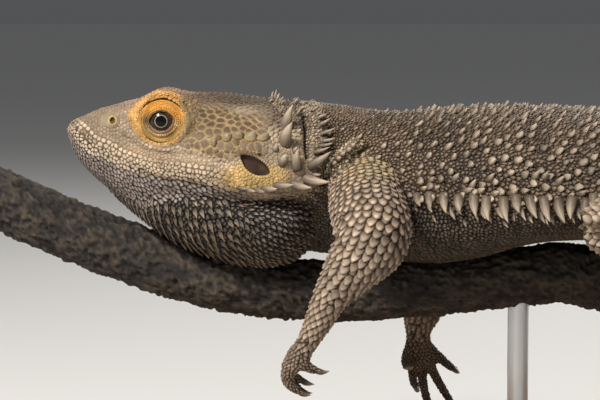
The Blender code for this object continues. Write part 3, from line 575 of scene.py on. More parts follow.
# %% Softening the joins
# Where skin bridges a crease or the pouch meets the jaw: place and reach
WEBS = (
    ((-56.0, -20.0, 71.0), 6.0), ((-49.0, 18.5, 71.0), 6.0), ((20.0, -24.0, 71.0), 7.0),
    ((29.0, 24.0, 71.0), 7.0), ((-68.2, -36.0, 44.0), 3.0), ((-40.0, 33.0, 36.0), 3.5),
    ((24.0, -15.0, 53.0), 3.0), ((33.0, 15.0, 53.0), 3.0), ((2.0, -33.0, 69.0), 5.0),
    ((11.0, 33.0, 69.0), 5.0), ((-110.0, 0.0, 71.0), 8.0), ((-98.0, -16.0, 69.5), 4.0),
    ((-98.0, 16.0, 69.5), 4.0), ((-88.0, -18.5, 69.5), 4.0), ((-88.0, 18.5, 69.5), 4.0),
    ((-78.0, -19.5, 70.5), 4.0), ((-78.0, 19.5, 70.5), 4.0), ((-68.0, 0.0, 94.0), 6.0),
)
skin_points = relaxed(skin_points, skin_edges, 0.5, 3)
web = np.max([
    np.exp(-np.sum((skin_points - centre) ** 2, 1) / reach**2) for centre, reach in WEBS
], axis=0)
skin_points = relaxed(skin_points, skin_edges, web * 0.9, 26)
print(int((web > 0.5).sum()), "points softened at the joins")

# %% [markdown]
# ## Folds, lips and openings
#
# Grooves and rolls are strokes drawn along the skin: a point near the stroke moves in or out
# along its normal, by a bell curve of its distance to the stroke. The mouth, the fold behind
# the head and the creases round the arm are made so. Round the eyes, ears and nostrils the
# skin is pressed in, to make room for finer pieces that are set there later.

# %% Strokes
flesh_side = BVHTree.FromPolygons(flesh_points.tolist(), flesh_faces.tolist())


def side_reach(x, z):
    """How far out the left side lies at each x and z, before any opening is pressed in."""
    starts = np.stack(np.broadcast_arrays(x, -60.0, z), -1).reshape(-1, 3)
    hits = [flesh_side.ray_cast(start, (0, 1, 0))[0] for start in starts.tolist()]
    reach = np.array([-hit[1] if hit else 0.0 for hit in hits])
    return reach.reshape(np.shape(x))


def side_line(*points):
    """A line on the left side, drawn by its x and z."""
    x, z = np.array(points, float).T
    return np.stack([x, -side_reach(x, z), z], -1)


MOUTH = np.array([
    (-124.9, 0.0, 91.3), (-123.7, -5.0, 90.3), (-120.8, -7.2, 87.6), (-118.2, -8.8, 85.4),
    (-114.6, -10.8, 84.0), (-111.9, -12.2, 82.4), (-108.6, -13.8, 81.3), (-105.5, -15.5, 80.4),
    (-102.1, -17.0, 80.0), (-96.5, -19.0, 79.5), (-89.4, -21.0, 78.3), (-86.6, -21.6, 77.2),
])
# The slit behind the head, where the neck folds under it
SLIT = side_line((-69.1, 92.4), (-68.9, 91.0), (-68.6, 88.6), (-68.3, 86.0), (-68.1, 83.6))
# line, width, depth (a roll has a depth below zero), each on the left side
STROKES = (
    (MOUTH, 0.5, 1.1),
    (SLIT, 0.75, 2.4),
    # the hollow behind the nape's spines, the roll before the shoulder and the fold under it
    (side_line((-64.0, 91.4), (-63.2, 88.0), (-63.0, 84.4), (-64.2, 80.6), (-64.8, 77.0)), 1.1, 1.2),
    (side_line((-62.8, 81.2), (-61.2, 82.9), (-59.4, 84.5), (-57.0, 86.4)), 1.15, -1.3),
    (side_line((-62.0, 78.8), (-59.6, 81.2), (-57.4, 83.2), (-54.8, 85.6)), 0.9, 1.1),
    # the crease under the corner of the mouth
    (side_line((-107.0, 79.8), (-103.0, 78.2), (-98.0, 77.7), (-92.0, 76.6)), 0.8, 0.55),
    # the creases round the arm
    (((-47.0, -23.5, 76.0), (-46.0, -23.5, 72.0), (-47.0, -22.0, 66.0), (-49.0, -19.0, 61.0)),
     1.2, 0.7),
    (((-43.0, -25.0, 72.0), (-42.5, -24.0, 67.0), (-44.0, -21.0, 61.5)), 1.0, 0.5),
    # the rolls along the flank, behind the jaw's corner and over the upper lip
    (((-45.0, -23.0, 74.2), (-30.0, -28.0, 74.0), (-15.0, -30.6, 74.0), (2.0, -31.0, 73.6)),
     1.5, -0.6),
    (((-84.4, -21.4, 76.4), (-80.0, -21.6, 75.6), (-75.0, -21.0, 76.0), (-70.0, -19.0, 77.4)),
     1.2, -0.7),
    (((-122.0, -6.9, 90.0), (-117.5, -9.7, 87.4), (-112.0, -12.9, 84.8), (-105.0, -15.9, 82.6),
      (-97.0, -18.6, 81.8)), 1.2, -0.35),
    # the upper lid's fold, the orbit's rear edge and the folds below the eye
    (side_line((-107.2, 91.6), (-106.9, 94.2), (-104.9, 96.6), (-101.8, 97.5), (-98.6, 96.7)),
     0.55, 0.75),
    (side_line((-96.6, 95.8), (-95.0, 93.6), (-94.6, 91.2), (-95.6, 88.8)), 0.6, 0.7),
    (side_line((-107.6, 88.0), (-104.6, 86.3), (-101.0, 85.8), (-97.4, 86.4)), 0.5, 0.4),
    (side_line((-110.6, 87.6), (-106.4, 84.9), (-101.0, 84.1), (-94.0, 84.0), (-88.0, 82.2)),
     0.6, 0.35),
    (side_line((-110.8, 92.6), (-109.4, 90.6), (-107.8, 88.8)), 0.9, 0.45),
)


def from_line(points, line):
    """Distance from each point to a line of joined segments."""
    nearest = np.full(len(points), 1e9)
    line = np.asarray(line, float)
    for start, stop in zip(line[:-1], line[1:], strict=True):
        run = stop - start
        part = np.clip((points - start) @ run / (run @ run), 0, 1)
        away = np.linalg.norm(points - start - part[:, None] * run, axis=1)
        nearest = np.minimum(nearest, away)
    return nearest


def stroked(points, normals):
    """Every stroke pressed into the skin along its normals, on both sides."""
    for line, width, depth in STROKES:
        for mirror in ((1, 1, 1), (1, -1, 1)):
            away = from_line(points, np.multiply(line, mirror))
            points = points - normals * (depth * np.exp(-((away / width) ** 2)))[:, None]
    return points


skin_points = stroked(skin_points, mesh_normals(skin_points, skin_faces))
print(len(STROKES), "grooves and rolls on each side")

# %% Room for eyes, ears and nostrils
EYE_AT = np.array((-102.0, -11.0, 91.5))
EYE_RADIUS = 4.5
LID_RADIUS = 5.0
LID_OPENING = (2.5, 2.3)  # along the head, up
SOCKET_RADIUS = 5.3
EAR_AT = np.array((-80.1, -20.8, 81.9))
EAR_HALF = (3.5, 2.35)  # along the opening and across it
EAR_TILT = math.radians(32.0)
NOSTRIL_AT = (-113.6, 91.4)  # x and z
PLATE_AT, PLATE_HALF = (-114.4, 91.3), (2.5, 1.65)  # the smooth oval shield round it
PLATE_TILT = math.radians(-12)


def drop_shape(turn):
    """Radius of the ear's outline: flat above, full below, drawn out to a corner in front."""
    front = np.exp(-((np.abs(np.angle(np.exp(1j * (turn - math.pi)))) / 0.42) ** 2))
    rear = np.exp(-((np.angle(np.exp(1j * turn)) / 0.45) ** 2))
    return 0.93 + 0.20 * front + 0.10 * rear - 0.24 * np.clip(np.sin(turn), 0, 1) ** 2


def ear_spread(points):
    """How far out a point lies from the ear's middle, 1 on the rim."""
    x = points[..., 0] - EAR_AT[0]
    z = points[..., 2] - EAR_AT[2]
    along = x * math.cos(EAR_TILT) - z * math.sin(EAR_TILT)
    up = x * math.sin(EAR_TILT) + z * math.cos(EAR_TILT)
    turn = np.arctan2(up / EAR_HALF[1], along / EAR_HALF[0])
    return np.hypot(along / EAR_HALF[0], up / EAR_HALF[1]) / drop_shape(turn)


def plate_spread(points):
    """How far out a point lies from the middle of the nostril's shield, 1 on its edge."""
    x, z = points[..., 0] - PLATE_AT[0], points[..., 2] - PLATE_AT[1]
    along = x * math.cos(PLATE_TILT) + z * math.sin(PLATE_TILT)
    up = z * math.cos(PLATE_TILT) - x * math.sin(PLATE_TILT)
    return np.hypot(along / PLATE_HALF[0], up / PLATE_HALF[1])


def with_openings(points):
    """Sinks the skin under the eyes, ears and nostrils of both sides."""
    for sign in SIDES.values():
        here = points[:, 1] * sign > 0
        outer = np.abs(points[:, 1])
        from_eye = np.hypot(points[:, 0] - EYE_AT[0], points[:, 2] - EYE_AT[2])
        pit = here & (outer > 8) & (from_eye < SOCKET_RADIUS)
        outer = np.where(pit, outer - 3.6 * step(SOCKET_RADIUS, 4.6, from_eye), outer)
        spread = ear_spread(points)
        outer = np.where(here & (outer > 15), outer - 3.0 * step(1.25, 1.0, spread), outer)
        from_nose = np.hypot(points[:, 0] - NOSTRIL_AT[0], points[:, 2] - NOSTRIL_AT[1])
        outer = np.where(here & (outer > 6), outer - 1.5 * step(1.3, 0.7, from_nose), outer)
        points = np.column_stack([points[:, 0], np.where(here, sign * outer, points[:, 1]),
                                  points[:, 2]])
    return points


BRANCH_SPAN = (-151.0, 109.0)  # from cut to cut, measured just inside them
SKIN_GAP, SCALE_GAP = 0.35, 0.6  # how far skin and scales stay off the bark


def from_branch(points):
    """The branch's middle line beside each point, and the way and distance out from it."""
    middle = branch_at(np.clip(points[:, 0], *BRANCH_SPAN))
    out = points - middle
    out[:, 0] = 0
    beyond = np.abs(points[:, 0] - np.mean(BRANCH_SPAN)) > np.ptp(BRANCH_SPAN) / 2 + 2
    return middle, out, np.where(beyond, 1e9, np.linalg.norm(out, axis=1))


def clear_of_branch(points):
    """Points inside the branch move straight out from its middle line to just above its bark."""
    middle, out, away = from_branch(points)
    moved = middle + unit(out) * (BRANCH_RADIUS + SKIN_GAP)
    moved[:, 0] = points[:, 0]
    return np.where(away[:, None] < BRANCH_RADIUS + SKIN_GAP, moved, points)


skin_points = clear_of_branch(with_openings(skin_points))
skin_normals = mesh_normals(skin_points, skin_faces)
SKIN = BVHTree.FromPolygons(skin_points.tolist(), skin_faces.tolist(), all_triangles=True)
print("skin shaped, box", skin_points.min(0).round(1), skin_points.max(0).round(1))

# %% [markdown]
# ## Where the scales sit
#
# Scales grow in rows round the body, each row set half a scale off the one before it. Rows are
# laid on the hulls: their spacing follows the scale size of that place, small on the eyelids,
# fingers and throat, larger on the cheek, arms and tail. Each root is then dropped onto the one
# skin, and roots that fall inside another part, or too close to a neighbour, are taken out.

# %% Scale sizes by place
def above_mouth(points):
    """Height over the mouth's line at each point's place along the head."""
    return points[..., 2] - np.interp(points[..., 0], MOUTH[:, 0], MOUTH[:, 2])


def head_sizes(points):
    """Scale width on the head: fine on snout and lips, coarse on cheek, crown and jaw."""
    x, y, z = points[..., 0], np.abs(points[..., 1]), points[..., 2]
    rise = above_mouth(points)
    size = 0.98 + 0.30 * step(-112, -100, x)
    cheek = step(-97, -93, x) * step(10, 14, y) * step(83.5, 85.5, z) * step(-74, -79, x)
    size = size + 1.05 * cheek
    stripe = step(-112, -106, x) * step(0.0, 0.6, rise) * step(6.2, 4.8, rise) * (1 - cheek)
    size = size + (0.76 - size) * stripe
    jowl = step(-79, -74, x) * step(89, 86, z) * step(10, 14, y)
    size = size + (0.80 - size) * jowl
    jaw = step(0.0, -1.0, rise)
    size = size * (1 - jaw) + jaw * (1.05 + 0.34 * step(-118, -100, x))
    eye = np.hypot(x - EYE_AT[0], z - EYE_AT[2])
    return np.where(y > 9, size - (size - 0.62) * step(8.8, 6.8, eye), size)


def beard_sizes(points):
    """Room of the beard's lances, and of the smaller scales on its pouch and its front end."""
    x = points[..., 0]
    return 1.42 + 0.80 * step(-80, -88, x) - 1.05 * step(-101, -112, x)


def body_sizes(points):
    """Scale width on the neck, back, flanks, belly and tail."""
    x, z = points[..., 0], points[..., 2]
    size = 0.76 + 0.26 * step(-58, -42, x)
    flank = step(73.5, 71.0, z) * step(55, 30, x)
    belly = step(66.0, 63.0, z) * step(55, 30, x)
    size = size - 0.04 * flank + 0.30 * belly
    on_tail = step(30, 60, x)
    centre = smooth(BODY_TABLE[:, 0], BODY_TABLE[:, 3:4], np.clip(x.ravel(), -74, 301))[:, 0]
    tail = 0.62 + 0.085 * np.clip(centre.reshape(x.shape), 0, 14)
    return size * (1 - on_tail) + on_tail * tail * 1.12


SCALE_SIZES = {"head": head_sizes, "beard": beard_sizes, "body": body_sizes}
WOBBLE = {"head": 0.13, "body": 0.22, "beard": 0.10}  # how far roots stray, as a share of size
# Scale widths along each limb at equal steps from its root to its end
LIMB_SCALES = {"arm": (1.1, 1.7, 2.3, 2.2, 1.8, 1.4), "leg": (1.8, 2.1, 2.0, 1.6),
               "hand": (1.2, 1.0), "foot": (1.2, 1.0), "finger": (0.95, 0.8), "toe": (0.95, 0.8)}
# Between rows, as a share of the width: a wall of hexagons, or scales wider than long
ROW_GAP, LIMB_GAP = 0.86, 0.64


# %% Rows of roots on one hull
def limb_sizes(grid, widths):
    """Scale width at each grid point of a limb, eased between the widths along it."""
    at = np.linspace(0, len(widths) - 1, len(grid))
    along = np.interp(at, np.arange(len(widths)), widths)
    return np.repeat(along[:, None], grid.shape[1], 1)


def row_places(grid, size, row_gap):
    """Row and column of every root on a hull, with its scale size.

    Rows are spaced by row_gap of the mean size; along a row the roots divide the length,
    measured in scale widths, into equal steps.
    """
    runs, count = grid.shape[:2]
    gaps = np.linalg.norm(np.diff(grid, axis=0), axis=2).mean(1)
    rows_so_far = np.concatenate([[0], np.cumsum(gaps / (row_gap * size.mean(1)[1:]))])
    rows = np.interp(np.arange(0.5, rows_so_far[-1]), rows_so_far, np.arange(runs))
    found = []
    for number, row in enumerate(rows):
        low = min(int(row), runs - 2)
        part = row - low
        ring = grid[low] * (1 - part) + grid[low + 1] * part
        width = size[low] * (1 - part) + size[low + 1] * part
        step_lengths = np.linalg.norm(np.roll(ring, -1, axis=0) - ring, axis=1)
        turned = np.concatenate([[0], np.cumsum(step_lengths / width)])
        many = max(int(round(turned[-1])), 3)
        ticks = (np.arange(many) + 0.5 * (number % 2)) / many * turned[-1]
        column = np.interp(ticks, turned, np.arange(count + 1))
        own = np.interp(column, np.arange(count + 1), np.append(width, width[0]))
        found.append(np.column_stack([np.full(many, row), column, own]))
    return np.concatenate(found)


# %% Slanted rows of the beard
BEARD_SLANT = math.radians(60)  # the lances point down and back, so their rows run aslant
BEARD_GAP = 1.08


def slanted_places(grid, size):
    """Row, column and size of roots in staggered rows that cross the beard's hull aslant.

    The length along the hull and the way up from its keel, both measured in scale widths, span
    a plane. A turned lattice is laid on it, and serves the left and the right side.
    """
    runs, count = grid.shape[:2]
    gaps = np.linalg.norm(np.diff(grid, axis=0), axis=2).mean(1)
    along = np.concatenate([[0], np.cumsum(gaps / size.mean(1)[1:])])
    keel, half = 3 * count // 4, count // 2
    found = []
    for turn_way in (-1, 1):
        columns = (keel + turn_way * np.arange(half + 1)) % count
        ring = grid[:, columns]
        steps = np.linalg.norm(np.diff(ring, axis=1), axis=2) / size[:, columns[1:]]
        up = np.concatenate([np.zeros((runs, 1)), np.cumsum(steps, 1)], 1)
        reach = along[-1] + up.max()
        lane, row = np.meshgrid(np.arange(-reach, reach), np.arange(-reach, reach, BEARD_GAP))
        lane = lane + 0.5 * (np.arange(len(row)) % 2)[:, None]
        ahead = (row * math.cos(BEARD_SLANT) + lane * math.sin(BEARD_SLANT)).ravel()
        rise = (-row * math.sin(BEARD_SLANT) + lane * math.cos(BEARD_SLANT)).ravel()
        inside = (ahead > 0) & (ahead < along[-1]) & (rise > 0)
        ahead, rise = ahead[inside], rise[inside]
        at_row = np.interp(ahead, along, np.arange(runs))
        low = np.minimum(at_row.astype(int), runs - 2)
        inside = rise < up[low, -1]
        at_row, low, rise = at_row[inside], low[inside], rise[inside]
        level = (up[low] < rise[:, None]).sum(1) - 1
        part = (rise - up[low, level]) / (up[low, level + 1] - up[low, level])
        column = (keel + turn_way * (level + part)) % count
        found.append(np.column_stack([at_row, column, size[low, column.astype(int) % count]]))
    return np.concatenate(found)


# %% All roots
def on_grid(grid, row, column):
    """Point of a hull at any row and column between its own, by blending four neighbours."""
    runs, count = grid.shape[:2]
    row = np.clip(row, 0, runs - 1 - 1e-6)
    low, left = row.astype(int), np.floor(column).astype(int)
    part, aside = (row - low)[:, None], (column - left)[:, None]
    left, right = left % count, (left + 1) % count
    top = grid[low, left] * (1 - aside) + grid[low, right] * aside
    bottom = grid[low + 1, left] * (1 - aside) + grid[low + 1, right] * aside
    return top * (1 - part) + bottom * part


def all_roots():
    """Place, lie, size, hull number, row and column of every root, as one table."""
    found = []
    for number, (kind, grid) in enumerate(zip(HULL_KINDS, HULLS.values(), strict=True)):
        if kind in SCALE_SIZES:
            size = SCALE_SIZES[kind](grid)
        else:
            size = limb_sizes(grid, LIMB_SCALES[kind])
        if kind == "beard":
            places = slanted_places(grid, size)
        else:
            places = row_places(grid, size, LIMB_GAP if kind in ("arm", "leg") else ROW_GAP)
        row, column, size = places.T
        here = on_grid(grid, row, column)
        way = on_grid(grid, row + 0.8, column) - on_grid(grid, row - 0.8, column)
        across = on_grid(grid, row, column + 0.5) - on_grid(grid, row, column - 0.5)
        shift = RANDOM.normal(0, WOBBLE.get(kind, 0.07), (2, len(row), 1)) * size[:, None]
        here = here + unit(way) * shift[0] + unit(across) * shift[1]
        hull = np.full(len(row), number)
        found.append(np.column_stack([here, unit(way), size, hull, row, column]))
    return np.concatenate(found)


roots = all_roots()
print(len(roots), "roots laid")

# %% [markdown]
# ## Lips and the row under the eye
#
# The lips carry neat rows of oblong shields along the mouth, and one more row curves under the
# eye. They are laid along those lines and not in the body's rows, and the plain roots beside
# them make room.

# %% Shields in lines
UNDER_EYE = np.array([(-109.6, 89.6), (-108.5, 88.0), (-106.8, 86.6), (-104.5, 85.6),
                      (-101.6, 85.0), (-98.9, 85.5), (-96.6, 86.9), (-95.2, 88.6)])
UNDER_EYE = np.stack([UNDER_EYE[:, 0], -side_reach(*UNDER_EYE.T), UNDER_EYE[:, 1]], -1)
# line, rise above it, length of a shield, its height
SHIELD_ROWS = ((MOUTH, 0.88, 1.75, 1.25), (MOUTH, 2.15, 1.45, 1.2), (MOUTH, -0.82, 1.45, 1.0),
               (UNDER_EYE, 0.0, 1.15, 0.95))


def left_side(points):
    """The same places, all on the animal's left."""
    return points * (1, 0, 1) - np.abs(points) * (0, 1, 0)


def shield_rows():
    """The rows' roots, and each row's line and height, to clear the ground beside it."""
    found, lines = [], []
    for line, rise, length, height in SHIELD_ROWS:
        run = np.concatenate([[0], np.cumsum(np.linalg.norm(np.diff(line, axis=0), axis=1))])
        many = int(run[-1] / length)
        at = (np.arange(many) + 0.5) / many * run[-1]
        here = smooth(run, line, at)
        way = unit(smooth(run, line, at + 0.3) - here)
        up = unit(np.cross(way, unit(here * (0, 1, 0)) + (0, 1e-3, 0)))
        up = up * np.sign(up[:, 2:3] + 1e-6)
        here = here + up * rise
        lines.append((here, height))
        for sign in SIDES.values():
            mirror = np.array((1, -sign, 1))
            found.append(np.column_stack([here * mirror, way * mirror, np.full(many, height),
                                          np.full(many, 0), np.full((many, 2), -1.0)]))
    return np.concatenate(found), lines


shields, shield_lines = shield_rows()
in_the_way = np.zeros(len(roots), bool)
for line, height in shield_lines:
    in_the_way |= from_line(left_side(roots[:, :3]), line) < 0.5 * height + 0.38
roots = np.concatenate([roots[~in_the_way], shields])
origin = np.where(roots[:, 8] < 0, "shield", "plain")
print(len(shields), "shields in lines")


# %% Dropping the roots onto the skin
def dropped(points):
    """Nearest place on the skin: point, outward normal and how far the point moved."""
    hits = [SKIN.find_nearest(point) for point in points.tolist()]
    place = np.array([tuple(hit[0]) for hit in hits])
    normal = np.array([tuple(hit[1]) for hit in hits])
    return place, normal, np.array([hit[3] for hit in hits])


def near_ones(points, count):
    """Indices and distances of each point's nearest neighbours, itself left out."""
    tree = tree_of(points)
    found = [tree.find_n(point, count + 1)[1:] for point in points.tolist()]
    return (np.array([[hit[1] for hit in row] for row in found]),
            np.array([[hit[2] for hit in row] for row in found]))


TOO_CLOSE = 0.6  # of the smaller scale
HEAD_END = -69.0  # the head's rear end in x
SKIN_REACH = 2.4  # a root further than this from the skin lies inside another part


def thinned(points, size, rank):
    """Keeps roots whose better-ranked neighbours all stand far enough away."""
    keep = np.ones(len(points), bool)
    for _ in range(3):
        index = np.flatnonzero(keep)
        who, away = near_ones(points[index], 6)
        close = away < TOO_CLOSE * np.minimum(size[index][:, None], size[index][who])
        lost = (close & (rank[index][who] < rank[index][:, None])).any(1)
        if not lost.any():
            break
        keep[index[lost]] = False
    return keep


def bare(points):
    """True where no scale grows: round eye, ear and nostril, and where the branch touches."""
    x, outer, z = points[:, 0], np.abs(points[:, 1]), points[:, 2]
    head = x < HEAD_END
    eye = head & (outer > 8) & (np.hypot(x - EYE_AT[0], z - EYE_AT[2]) < SOCKET_RADIUS + 0.05)
    ear = head & (outer > 15) & (ear_spread(points) < 1.34)
    nose = head & (outer > 6) & (plate_spread(points) < 1.06)
    side = left_side(points)
    slit = (from_line(side, SLIT) < 0.42) | (from_line(side, MOUTH) < 0.24)
    return eye | ear | nose | slit | (from_branch(points)[2] < BRANCH_RADIUS + SCALE_GAP)


place, normal, moved = dropped(roots[:, :3])
rank = moved + RANDOM.random(len(roots)) * 0.01 - 5 * (origin == "shield")
keep = (moved < SKIN_REACH) & ~bare(place)
roots, place, normal, origin, rank = (item[keep] for item in (roots, place, normal, origin, rank))
keep = thinned(place, roots[:, 6], rank)
roots, place, normal, origin = (item[keep] for item in (roots, place, normal, origin))
print(len(roots), "roots on the skin")


# %% [markdown]
# ## Lids, ear rim and nostril ring
#
# The lids are a round dome over the eyeball, drawn on a grid of rings about the eye's axis, so
# that the opening is crisp and the folds run round it. Rings of tiny granules cover it. The
# ear and the nostril have rims of the same make: each ring of the grid is one level of the
# opening's outline, set out or in from the head's side.

# %% Lid surface
LID_GROOVE = 4.72  # how far from the eye's middle the groove round the lids runs


def round_eye(x, z):
    """Distance from the eye's middle, and the direction: 0 behind it, pi / 2 above it."""
    return (np.hypot(x - EYE_AT[0], z - EYE_AT[2]), np.arctan2(z - EYE_AT[2], x - EYE_AT[0]))


def toward(turn, middle, width):
    """A bell over directions, 1 at middle."""
    return np.exp(-((np.angle(np.exp(1j * (turn - middle))) / width) ** 2))


def lid_reach(x, z):
    """How far out the lid lies: a dome on the eyeball that eases into the head's side.

    A groove runs round the dome, wide and deep behind and below, almost closed above the rear
    corner; the lower lid has a step outside its row of beads, the upper a slight fold.
    """
    away, turn = round_eye(x, z)
    dome = -EYE_AT[1] + np.sqrt(np.maximum(LID_RADIUS**2 - away**2, 1.0))
    side = side_reach(x, z) - 0.2
    ease = step(3.6, 5.2, away)
    low_rear = toward(turn, -0.75, 0.75)
    depth = 0.45 + 0.95 * low_rear - 0.40 * toward(turn, 0.75, 0.5)
    width = 0.20 + 0.26 * low_rear
    groove = depth * np.exp(-(((away - LID_GROOVE) / width) ** 2))
    bead_step = 0.16 * np.exp(-(((away - 3.02) / 0.16) ** 2)) * step(0.2, -0.3, np.sin(turn))
    fold = 0.20 * np.exp(-(((away - 3.95) / 0.2) ** 2)) * toward(turn, 1.9, 0.9)
    return dome * (1 - ease) + side * ease - groove - bead_step - fold


def lid_edge(turn, spread=1.0):
    """The opening: an oval drawn out a little towards its two corners."""
    corner = 1 + 0.10 * np.abs(np.cos(turn)) ** 6
    spread = np.ravel(spread)
    return np.stack([EYE_AT[0] + LID_OPENING[0] * corner * np.cos(turn) * spread,
                     EYE_AT[2] + LID_OPENING[1] * np.sin(turn) * spread], -1)


def facing_out(x, z, reach_of):
    """Outward normal of a side surface, from its slopes along x and z (left side)."""
    tiny = 0.15
    slope_x = (reach_of(x + tiny, z) - reach_of(x - tiny, z)) / (2 * tiny)
    slope_z = (reach_of(x, z + tiny) - reach_of(x, z - tiny)) / (2 * tiny)
    return unit(np.stack([-slope_x, -np.ones_like(x), -slope_z], -1))


# %% Granules on the lids, round the ear and along the temple
# Spread of each ring of lid granules and their width; the beaded ring comes third
LID_RINGS = ((1.08, 0.30), (1.22, 0.34), (1.41, 0.56), (1.58, 0.36), (1.71, 0.36), (1.84, 0.38),
             (1.98, 0.42))
BEADED_RING = 2
TEMPLE_KNOBS = ((-89.6, 86.9, 2.0), (-86.9, 87.9, 2.6), (-84.2, 88.3, 2.8), (-81.3, 88.1, 2.9),
                (-78.2, 87.9, 2.9))


def ear_outline(turn, spread):
    """Points of the ear's slanted drop, 1 on its rim."""
    reach = drop_shape(turn) * spread
    along = EAR_HALF[0] * np.cos(turn) * reach
    up = EAR_HALF[1] * np.sin(turn) * reach
    return np.stack([EAR_AT[0] + along * math.cos(EAR_TILT) + up * math.sin(EAR_TILT),
                     EAR_AT[2] - along * math.sin(EAR_TILT) + up * math.cos(EAR_TILT)], -1)


def special_roots():
    """Extra roots on the left side: place, normal, lie, size; and where each comes from."""
    found, names = [], []
    for number, (spread, width) in enumerate(LID_RINGS):
        many = int(2 * math.pi * LID_OPENING[0] * spread / width)
        turn = around(many) + number * math.pi / many + RANDOM.normal(0, 0.12 / many, many)
        x, z = lid_edge(turn, spread + RANDOM.normal(0, 0.012, many)[:, None]).T
        lie = np.stack([-np.sin(turn), 0 * turn, np.cos(turn)], -1)
        name = "bead" if number == BEADED_RING else "lid"
        found.append((x, z, lid_reach, lie, width, name))
    for spread, width in ((1.15, 0.62), (1.36, 0.80)):
        turn = around(int(18.0 * spread / width))
        x, z = ear_outline(turn, spread).T
        lie = np.stack([np.cos(turn), 0 * turn, np.sin(turn)], -1)
        found.append((x, z, lambda x, z: side_reach(x, z) - 0.1, lie, width, "rim"))
    x, z, width = np.array(TEMPLE_KNOBS).T
    lie = np.tile((0.7, 0.0, 0.7), (len(x), 1))
    found.append((x, z, side_reach, lie, width, "knob"))
    rows = []
    for x, z, reach_of, lie, width, name in found:
        here = np.stack([x, -reach_of(x, z), z], -1)
        rows.append(np.column_stack([here, facing_out(x, z, reach_of), lie,
                                     np.broadcast_to(width, len(x))]))
        names += [name] * len(x)
    return np.concatenate(rows), np.array(names)


left, left_names = special_roots()
right = left * (1, -1, 1, 1, -1, 1, 1, -1, 1, 1)
special, special_names = np.concatenate([left, right]), np.tile(left_names, 2)
CLEARANCE = 0.22  # beyond a knob's or a thorn's own edge
crowded = np.zeros(len(place), bool)
for knob in special[special_names == "knob"]:
    crowded |= np.linalg.norm(place - knob[:3], axis=1) < 0.5 * knob[9] + CLEARANCE
roots, place, normal, origin = (item[~crowded] for item in (roots, place, normal, origin))
extra = np.column_stack([special[:, :3], special[:, 6:10], np.zeros((len(special), 1)),
                         np.full((len(special), 2), -1.0)])
roots = np.concatenate([roots, extra])
place = np.concatenate([place, special[:, :3]])
normal = np.concatenate([normal, special[:, 3:6]])
origin = np.concatenate([origin, special_names])
print(len(special), "granules and knobs on the head")

# %% [markdown]
# ## Thorns of the back
#
# Among the small scales of the back stand larger ones, a few millimetres apart. They push the
# scales next to them out of the way.

# %% Thorns scattered over the back
THORN_SPACING = 2.45  # millimetres from one thorn to the next


def scattered(points, candidates, spacing):
    """Picks candidates in random order, each at least spacing from every one already picked."""
    tree = tree_of(points[candidates], candidates.tolist())
    taken, blocked = [], set()
    for index in RANDOM.permutation(candidates).tolist():
        if index not in blocked:
            taken.append(index)
            blocked.update(hit[1] for hit in tree.find_range(points[index].tolist(), spacing))
    return np.array(taken)


def beside_thorns(thorns):
    """True for the plain roots that a thorn leaves no room."""
    tree = tree_of(place)
    lost = np.zeros(len(place), bool)
    for index in thorns:
        hits = tree.find_range(place[index], 0.5 * roots[index, 6] + CLEARANCE)
        lost[[hit[1] for hit in hits]] = True
    lost[thorns] = False
    return lost & (origin == "plain")


on_body = HULL_KINDS[roots[:, 7].astype(int)] == "body"
along = place[:, 0]
fewer = RANDOM.random(len(place)) < 1 - 0.9 * step(20, 90, along)
on_back = (on_body & (origin == "plain") & (along > -61) & (along < 90) & fewer
           & (place[:, 2] > 74.0 - 3.5 * step(20, 45, along)))
thorns = scattered(place, np.flatnonzero(on_back), THORN_SPACING)
roots[thorns, 6] *= (1.30 + 0.62 * step(-58, -40, along[thorns]) - 0.45 * step(20, 80, along[thorns])
                     - 0.35 * step(86, 92, place[thorns, 2])
                     + RANDOM.normal(0, 0.22, len(thorns)).clip(-0.4, 0.5))
origin[thorns] = "thorn"
lost = beside_thorns(thorns)
roots, place, normal, origin = (item[~lost] for item in (roots, place, normal, origin))
print(len(thorns), "thorns on the back")

# %% [markdown]
# ## Granules in the gaps
#
# Between the large scales of a real hide lie small ones that fill every gap. They are found by
# asking each point of the skin how far the nearest root is: where that is more than a scale can
# cover, a granule grows.

# %% Small scales that fill the gaps
COVER, BEARD_COVER = 0.66, 0.40  # share of its room that a scale covers all round
GRANULE_SPACING = 0.72


def gap_roots():
    """Roots of the granules: the nearest root's row of the table, at the gap's own place."""
    tree = tree_of(place)
    hits = [tree.find(point)[1:] for point in skin_points.tolist()]
    nearest = np.array([hit[0] for hit in hits])
    away = np.array([hit[1] for hit in hits])
    nearest_kind = HULL_KINDS[roots[nearest, 7].astype(int)]
    cover = np.where(nearest_kind == "beard", BEARD_COVER, COVER)
    open_skin = np.flatnonzero((away > cover * roots[nearest, 6]) & ~bare(skin_points))
    picked = scattered(skin_points, open_skin, GRANULE_SPACING)
    rows = roots[nearest[picked]].copy()
    rows[:, :3] = skin_points[picked]
    rows[:, 6] = np.minimum(rows[:, 6] * 0.75, away[picked] * 1.05)
    return rows, skin_points[picked], skin_normals[picked]


granules, granule_place, granule_normal = gap_roots()
roots = np.concatenate([roots, granules])
place = np.concatenate([place, granule_place])
normal = np.concatenate([normal, granule_normal])
origin = np.concatenate([origin, np.full(len(granules), "granule")])
print(len(granules), "granules in the gaps,", len(roots), "scales in all")

# %% [markdown]
# ## The room of each scale
#
# A scale fills the room that its neighbours leave it: the edge between two scales lies where
# each is as many scale widths away. Seen from the root, the nearest such edge in each of a few
# directions gives the outline, so the outlines fit like tiles, with one thin gap all round.

# %% Kinds of scale
hull_kind = HULL_KINDS[roots[:, 7].astype(int)]
size, way = roots[:, 6].copy(), roots[:, 3:6]
x, outer, z = place[:, 0], np.abs(place[:, 1]), place[:, 2]

